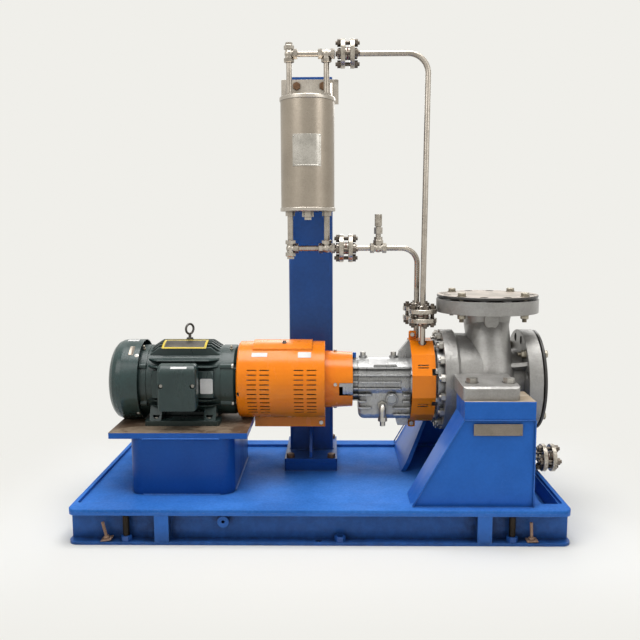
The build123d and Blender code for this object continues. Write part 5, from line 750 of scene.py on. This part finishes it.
def cover_bolt(length):
    """Hexagon bolt that stands head up at the origin, with washers, nut and a threaded tail."""
    washer, thick, flats = 0.0155, 0.003, 0.024
    top_washer = rounded(stepped_round([(washer, 0.0), (washer, thick)], 28), 0.0006)
    head = hexagon(flats, 0.010, (0.0, 0.0, thick), UP, spin=0.3)
    shank = stepped_round([(0.008, -length), (0.008, 0.001)], 20)
    low_washer = rounded(stepped_round([(washer, -length - thick), (washer, -length)], 28), 0.0006)
    nut = hexagon(flats, 0.013, (0.0, 0.0, -length - thick), DOWN, spin=0.5)
    tail = threaded(0.0078, 0.012, 0.002, (0.0, 0.0, -length - 0.014), DOWN)
    return joined([top_washer, head, shank, low_washer, nut, tail], "cover_bolt")


def spread_bolts(pattern, name, frame_matrix):
    """Copies of one bolt at the four corners of a nozzle's bolt circle."""
    pieces = []
    for corner in range(4):
        angle = math.radians(45 + 90 * corner)
        at = Matrix.Translation((BOLT_CIRCLE_RADIUS * math.cos(angle), BOLT_CIRCLE_RADIUS * math.sin(angle), 0.0))
        pieces.append(copied(pattern, frame_matrix @ at @ Matrix.Rotation(corner * 0.7, 4, "Z")))
    place_piece(pieces, name, "old_zinc")


bolt = cover_bolt(COVER_AND_GASKET + FLANGE_THICKNESS)
spread_bolts(bolt, "discharge_cover_bolts", Matrix.Translation((DISCHARGE_X, 0.0, DISCHARGE_COVER_TOP)))
spread_bolts(bolt, "suction_cover_bolts",
             Matrix.Translation((SUCTION_COVER_X, 0.0, SHAFT_Z)) @ Matrix.Rotation(math.radians(90), 4, "Y"))
bpy.data.objects.remove(bolt)

ANCHOR_X, ANCHOR_Y, LOWER_FLANGE_TOP = 0.650, -0.363, 0.0105


def shipping_screw(name, x, lean_x, lean_y):
    """Rusty lag screw left in an anchor hole, with a square washer and a nut above it."""
    shank = threaded(0.0048, 0.052, 0.003, (0.0, 0.0, 0.006), UP, 16)
    tip = stepped_round([(0.0045, -0.006), (0.0045, 0.007)], 16)
    washer = slab((-0.017, -0.015, 0.001), (0.017, 0.015, 0.0045), 0.0008)
    nut = hexagon(0.017, 0.008, (0.0, 0.0, 0.0045), UP, spin=0.2)
    screw = joined([shank, tip, nut, washer], name)
    lean = Matrix.Rotation(lean_x, 4, "X") @ Matrix.Rotation(lean_y, 4, "Y")
    screw.data.transform(Matrix.Translation((x, ANCHOR_Y, LOWER_FLANGE_TOP)) @ lean)
    place_piece([screw], name, "rusty_steel")


shipping_screw("shipping_screw_left", -ANCHOR_X, 0.06, -0.20)
shipping_screw("shipping_screw_right", ANCHOR_X, 0.03, -0.05)


def makers_plate():
    """The bare plate on the front pump pedestal, with a sunk field and a rivet in each corner."""
    low, high, inset, rivet = (0.469, -0.3545, 0.336), (0.616, -0.3532, 0.372), 0.005, 0.0028
    plate = slab(low, high, 0.0006)
    wide = 0.3 * (high[0] - low[0]) * (high[2] - low[2])
    pick(plate, "FACE", lambda f: f.normal.y < -0.9 and f.area > wide)
    bpy.ops.mesh.inset(thickness=inset * 0.45, depth=0.0)
    bpy.ops.mesh.inset(thickness=0.0006, depth=-0.0004)
    leave()
    pieces = [plate]
    for x in (low[0] + inset, high[0] - inset):
        for z in (low[2] + inset, high[2] - inset):
            pieces.append(stepped_round([(rivet, 0.0), (rivet * 0.9, 0.0007), (rivet * 0.5, 0.0012)], 16,
                                        (x, low[1] + 0.0004, z), (0.0, -1.0, 0.0)))
    place_piece(pieces, "makers_plate", "bare_plate_steel")


makers_plate()

EDGE_START = 0.01


def bent_sheet(low, high, centre, axis, turn, thickness, steps, rim=0.0):
    """Sheet bent round an axis: a straight edge spun through an arc, then given its thickness and a sunk field."""
    deselect()
    low, high, centre = Vector(low), Vector(high), Vector(centre)
    upright = axis == "Z"
    side = 0 if upright else 1
    middle = (low + high) / 2
    middle[side] -= EDGE_START / 2
    bpy.ops.mesh.primitive_plane_add(size=EDGE_START, location=middle,
                                     rotation=(math.pi / 2 if upright else 0.0, 0.0, 0.0))
    sheet = bpy.context.object
    stretch = (high - low).length / EDGE_START
    sheet.scale = (1.0, stretch, 1.0) if upright else (stretch, 1.0, 1.0)
    settle(sheet)
    pick(sheet, "VERT", lambda v: v.co[side] < middle[side])
    bpy.ops.mesh.delete(type="VERT")
    bpy.ops.mesh.select_mode(type="EDGE")
    bpy.ops.mesh.select_all(action="SELECT")
    bpy.ops.mesh.spin(steps=steps, angle=math.radians(-turn), center=centre,
                      axis=UP if upright else (1.0, 0.0, 0.0))
    bpy.ops.mesh.select_all(action="SELECT")
    bpy.ops.mesh.remove_doubles(threshold=0.00001)
    bpy.ops.mesh.normals_make_consistent(inside=False)
    leave()

    def outward(face):
        """How far a face looks away from the axis."""
        away = face.center - centre
        away["XYZ".index(axis)] = 0.0
        return face.normal.dot(away.normalized())

    if outward(sheet.data.polygons[0]) < 0:
        pick(sheet, "FACE", lambda f: True)
        bpy.ops.mesh.flip_normals()
        leave()
    shell = sheet.modifiers.new("wall", "SOLIDIFY")
    shell.thickness, shell.offset = thickness, 1.0
    bpy.ops.object.modifier_apply(modifier=shell.name)
    if rim:
        pick(sheet, "FACE", lambda f: outward(f) > 0.9)
        bpy.ops.mesh.inset(thickness=rim, depth=0.0)
        bpy.ops.mesh.inset(thickness=0.0006, depth=-thickness * 0.4)
        leave()
    return sheet


def curved_plate(name, x_range, radius, angles, thickness, finish, slot, rim=0.0):
    """Thin plate bent round the shaft's axis, between two angles."""
    y, z = on_barrel(radius, angles[0])
    sheet = bent_sheet((x_range[0], y, z), (x_range[1], y, z), (0.0, 0.0, SHAFT_Z), "X", angles[1] - angles[0],
                       thickness, 10, rim)
    place_piece([sheet], name, finish)


def label(name, x_range, centre, size, tilt):
    """Small bare label: a rounded sheet that faces the front, tipped back by its tilt in degrees."""
    y, z = centre
    sheet = slab((x_range[0], y - 0.0004, z - size / 2), (x_range[1], y + 0.0002, z + size / 2))
    pick(sheet, "EDGE", lambda e: abs((sheet.data.vertices[e.vertices[0]].co
                                       - sheet.data.vertices[e.vertices[1]].co).y) > 0.0003)
    bpy.ops.mesh.bevel(offset=size * 0.09, segments=3)
    leave()
    sheet.data.transform(Matrix.Translation((0.0, y, z)) @ Matrix.Rotation(math.radians(-tilt), 4, "X")
                         @ Matrix.Translation((0.0, -y, -z)))
    place_piece([sheet], name, "bare_label")


GUARD_SKIN, FAN_COVER_SKIN, MOTOR_FINS = 0.1322, 0.1391, 0.1393
label("guard_label_left", (-0.227, -0.175), on_barrel(GUARD_SKIN, 131.5), 0.017, 48.5)
label("guard_label_right", (-0.072, -0.028), on_barrel(GUARD_SKIN, 131.5), 0.024, 48.5)
label("motor_label", (-0.396, -0.354), (-0.1252, 0.4395), 0.051, 0.0)
label("conduit_label", (-0.478, -0.426), (-0.1946, 0.5146), 0.008, 45.0)
for plate in (("housing_label", (0.168, 0.230), 0.0771, (104, 132), 0.0004, "bare_label", "blue_plastic"),
              ("fan_cover_label", (-0.660, -0.622), FAN_COVER_SKIN, (92, 101), 0.0004, "bare_label", "blue_plastic"),
              ("motor_top_plate", (-0.533, -0.382), MOTOR_FINS, (96, 122), 0.0012, "yellow_frame", "guard_orange",
               0.006),
              ("motor_top_plate_face", (-0.5255, -0.3895), MOTOR_FINS + 0.0001, (99, 119), 0.0009, "dark_plate",
               "stainless"),
              ("fan_cover_plate", (-0.640, -0.624), FAN_COVER_SKIN, (117, 134), 0.0007, "bare_plate_steel",
               "stainless", 0.0015)):
    curved_plate(*plate)

RIPPLE = 0.004


def bead(start, end, radius):
    """Weld bead between two points: a round bar, sunk half way in, with a ripple every few millimetres."""
    deselect()
    start, end = Vector(start), Vector(end)
    length = (end - start).length
    cuts = max(6, min(160, int(length / RIPPLE)))
    step = length / (cuts + 1)
    bpy.ops.mesh.primitive_cylinder_add(vertices=8, radius=radius, depth=length, end_fill_type="NGON",
                                        location=(0.0, 0.0, length / 2))
    piece = bpy.context.object
    settle(piece)
    corners = piece.data.vertices
    pick(piece, "EDGE", lambda e: abs(corners[e.vertices[0]].co.z - corners[e.vertices[1]].co.z) > length * 0.9)
    bpy.ops.mesh.subdivide(number_cuts=cuts)
    leave()
    for every, factor in ((2, 0.78), (5, 1.14), (7, 0.88)):
        pick(piece, "VERT", lambda v: round(v.co.z / step) % every == 1)
        bpy.ops.transform.resize(value=(factor, factor, 1.0), center_override=(0.0, 0.0, 0.0))
        leave()
    return aimed(piece, start, end - start)


def weld(name, runs, radius, finish="blue_plate"):
    """A node's welds, joined into a piece."""
    place_piece([bead(start, end, radius) for start, end in runs], name, finish, 60.0)


def around(x_range, y_range, z, corner=0.0):
    """The four sides of an upright box at one height, each cut short by the corner."""
    (x0, x1), (y0, y1) = x_range, y_range
    return [((x0 + corner, y0, z), (x1 - corner, y0, z)), ((x0 + corner, y1, z), (x1 - corner, y1, z)),
            ((x0, y0 + corner, z), (x0, y1 - corner, z)), ((x1, y0 + corner, z), (x1, y1 - corner, z))]


def both_sides(y, *runs):
    """Runs given as (x, z) to (x, z), at minus y and then at plus y."""
    return [((x0, side * y, z0), (x1, side * y, z1)) for (x0, z0), (x1, z1) in runs for side in (-1, 1)]


DECK, RIM = 0.102, 0.112
STAND_X, STAND_Y, STAND_BEND = (-0.615, -0.276), 0.222, 0.045
STAND_TOP = 0.2877
weld("motor_stand_weld", around(STAND_X, (-STAND_Y, STAND_Y), DECK, STAND_BEND)
     + [((STAND_X[0] + STAND_BEND, -STAND_Y, STAND_TOP), (STAND_X[1] - STAND_BEND, -STAND_Y, STAND_TOP))], 0.0032)

PUMP_STAND_Y = 0.353
weld("pump_stand_weld", both_sides(PUMP_STAND_Y, ((0.290, RIM), (0.655, RIM)), ((0.288, 0.116), (0.440, 0.383)),
                                   ((0.655, RIM), (0.655, 0.384))), 0.0026)
weld("pump_pad_weld", both_sides(PUMP_STAND_Y + 0.0005, ((0.442, 0.3835), (0.654, 0.3835))), 0.0022)

FOOT_PLATE, GUSSET_X, GUSSET_HALF = 0.146, -0.034, 0.005
gusset_runs = [((GUSSET_X + side * GUSSET_HALF, y0, FOOT_PLATE), (GUSSET_X + side * GUSSET_HALF, y1, z1))
               for y0, y1, z1 in ((0.034, 0.134, FOOT_PLATE), (0.240, 0.308, FOOT_PLATE), (0.1355, 0.1355, 0.354))
               for side in (-1, 1)]
weld("column_weld", around((-0.113, 0.045), (0.136, 0.238), FOOT_PLATE, 0.010)
     + [((-0.127, y, DECK), (0.059, y, DECK)) for y in (0.024, 0.318)] + gusset_runs, 0.0030, "blue_column")

WEB_FACE, STIFFENERS, STIFFENER_HALF = 0.341, (-0.478, 0.504), 0.022
weld("stiffener_weld", [((x + side * STIFFENER_HALF, y, 0.010), (x + side * STIFFENER_HALF, y, 0.092))
                        for y in (-WEB_FACE, WEB_FACE) for x in STIFFENERS for side in (-1, 1)], 0.0022)


def screw_head(radius, height, place, direction, washer):
    """Domed screw head on a thin washer."""
    head = stepped_round([(radius, 0.0), (radius, height * 0.35), (radius * 0.86, height * 0.75),
                          (radius * 0.5, height)], 20, place, direction)
    ring_under = stepped_round([(washer, -0.0002), (washer, 0.0009)], 24, place, direction)
    return joined([head, ring_under], "screw_head")


heads = [screw_head(0.0045, 0.0035, (-0.611, *on_barrel(0.139, angle)), radial(angle), 0.0065)
         for angle in (45, 135, 225, 315)]
place_piece(heads, "fan_cover_screws", "zinc")

LATCH_ANGLE = 106
latch_y, latch_z = on_barrel(0.1375, LATCH_ANGLE)
latch = [screw_head(0.0052, 0.005, (-0.120, latch_y, latch_z), radial(LATCH_ANGLE), 0.0085),
         slab((-0.126, latch_y - 0.003, latch_z + 0.003), (-0.1145, latch_y + 0.001, latch_z + 0.0085), 0.001)]
place_piece(latch, "guard_latch", "black_bolt")


def grease_fitting(place, direction):
    """Small grease nipple: hexagon, neck and ball end."""
    body = hexagon(0.010, 0.006, place, direction)
    along = Vector(direction).normalized()
    neck = stepped_round([(0.0036, 0.0), (0.0030, 0.003), (0.0040, 0.006), (0.0034, 0.0085), (0.0016, 0.010)], 18,
                         Vector(place) + along * 0.006, direction)
    return joined([body, neck], "grease_fitting")


nipples = [grease_fitting((x, *on_barrel(0.1195, 112)), radial(112)) for x in (-0.300, -0.598)]
place_piece(nipples, "grease_fittings", "old_zinc")


def cooler_plate():
    """Bare plate bent round the front of the cooler shell, with a sunk field and four rivets."""
    low, high, radius, inset = 1.161, 1.264, 0.0902, 0.006
    middle = Vector((-0.039, 0.005, 0.0))
    start, turn = math.radians(-120.7), 61.4
    x, y = middle.x + radius * math.cos(start), middle.y + radius * math.sin(start)
    pieces = [bent_sheet((x, y, low), (x, y, high), middle, "Z", turn, 0.0009, 16, 0.004)]
    for angle in (-118.0, -62.0):
        out = Vector((math.cos(math.radians(angle)), math.sin(math.radians(angle)), 0.0))
        for z in (low + inset, high - inset):
            pieces.append(stepped_round([(0.0024, 0.0), (0.0020, 0.0007), (0.0010, 0.0011)], 14,
                                        middle + out * (radius + 0.0008) + Vector((0.0, 0.0, z)), out))
    place_piece(pieces, "cooler_plate", "bright_plate")


cooler_plate()

BACKDROP = (0.871, 0.863, 0.823, 1.0)
BASE_HALF, FLOOR_SIZE = (0.77, 0.38), 60.0


def plain_rays(tree):
    """1 for the rays that see the backdrop: from the camera, off a gloss and through glass."""
    path = tree.nodes.new("ShaderNodeLightPath")
    seen = math_node(tree, "MAXIMUM", path.outputs["Is Camera Ray"], path.outputs["Is Glossy Ray"])
    return math_node(tree, "MAXIMUM", seen, path.outputs["Is Transmission Ray"])


def stage_material():
    """Pale floor with the set's soft shadow, fading into the plain backdrop away from the base."""
    material, tree, shader = new_material("pale_floor")
    shader.inputs["Base Color"].default_value = (0.80, 0.792, 0.757, 1.0)
    shader.inputs["Roughness"].default_value = 0.9
    shader.inputs["Specular IOR Level"].default_value = 0.0
    place = axes(tree, place_in_object(tree))
    beside = math_node(tree, "SUBTRACT", math_node(tree, "ABSOLUTE", place["X"]), BASE_HALF[0])
    before = math_node(tree, "SUBTRACT", math_node(tree, "ABSOLUTE", place["Y"]), BASE_HALF[1])
    away = spread(tree, math_node(tree, "MAXIMUM", beside, before), 0.04, 0.60)
    plain = tree.nodes.new("ShaderNodeEmission")
    plain.inputs["Color"].default_value = BACKDROP
    mixed = tree.nodes.new("ShaderNodeMixShader")
    join(tree, times(tree, away, plain_rays(tree)), mixed.inputs[0])
    join(tree, shader.outputs[0], mixed.inputs[1])
    join(tree, plain.outputs[0], mixed.inputs[2])
    join(tree, mixed.outputs[0], tree.nodes["Material Output"].inputs["Surface"])
    return material


def build_stage():
    """A floor under the set."""
    bpy.ops.mesh.primitive_plane_add(size=FLOOR_SIZE, location=(0.0, 0.0, 0.0))
    floor = bpy.context.object
    floor.name = "floor"
    floor.data.materials.append(stage_material())


def soft_lamp(name, place, height, size, power):
    """A large soft white lamp that looks at a height over the origin."""
    bpy.ops.object.light_add(type="AREA", location=place)
    lamp = bpy.context.object
    lamp.name = name
    lamp.data.shape = "RECTANGLE"
    lamp.data.size, lamp.data.size_y = size
    lamp.data.energy = power
    lamp.rotation_euler = (Vector((0.0, 0.0, height)) - Vector(place)).to_track_quat("-Z", "Y").to_euler()


def build_world():
    """Pale even surroundings: plain to the camera and to reflections, dimmer as a light."""
    world = bpy.data.worlds.new("studio")
    scene.world = world
    world.use_nodes = True
    tree = world.node_tree
    tree.nodes.clear()
    seen = tree.nodes.new("ShaderNodeBackground")
    seen.inputs["Color"].default_value = BACKDROP
    seen.inputs["Strength"].default_value = 1.0
    fill = tree.nodes.new("ShaderNodeBackground")
    fill.inputs["Color"].default_value = (0.92, 0.95, 1.0, 1.0)
    fill.inputs["Strength"].default_value = 0.22
    mixed = tree.nodes.new("ShaderNodeMixShader")
    join(tree, plain_rays(tree), mixed.inputs[0])
    join(tree, fill.outputs[0], mixed.inputs[1])
    join(tree, seen.outputs[0], mixed.inputs[2])
    end = tree.nodes.new("ShaderNodeOutputWorld")
    join(tree, mixed.outputs[0], end.inputs["Surface"])


build_stage()
build_world()
soft_lamp("lamp_left", (-2.6, -2.6, 3.2), 0.6, (2.2, 2.2), 34.0)
soft_lamp("lamp_right", (3.0, -2.2, 2.6), 0.6, (1.8, 2.2), 22.0)
soft_lamp("lamp_top", (0.0, -0.3, 3.9), 0.4, (3.2, 2.4), 146.0)
soft_lamp("lamp_back", (0.5, 3.2, 2.6), 0.6, (2.6, 1.6), 40.0)

scene.view_settings.view_transform = "Standard"
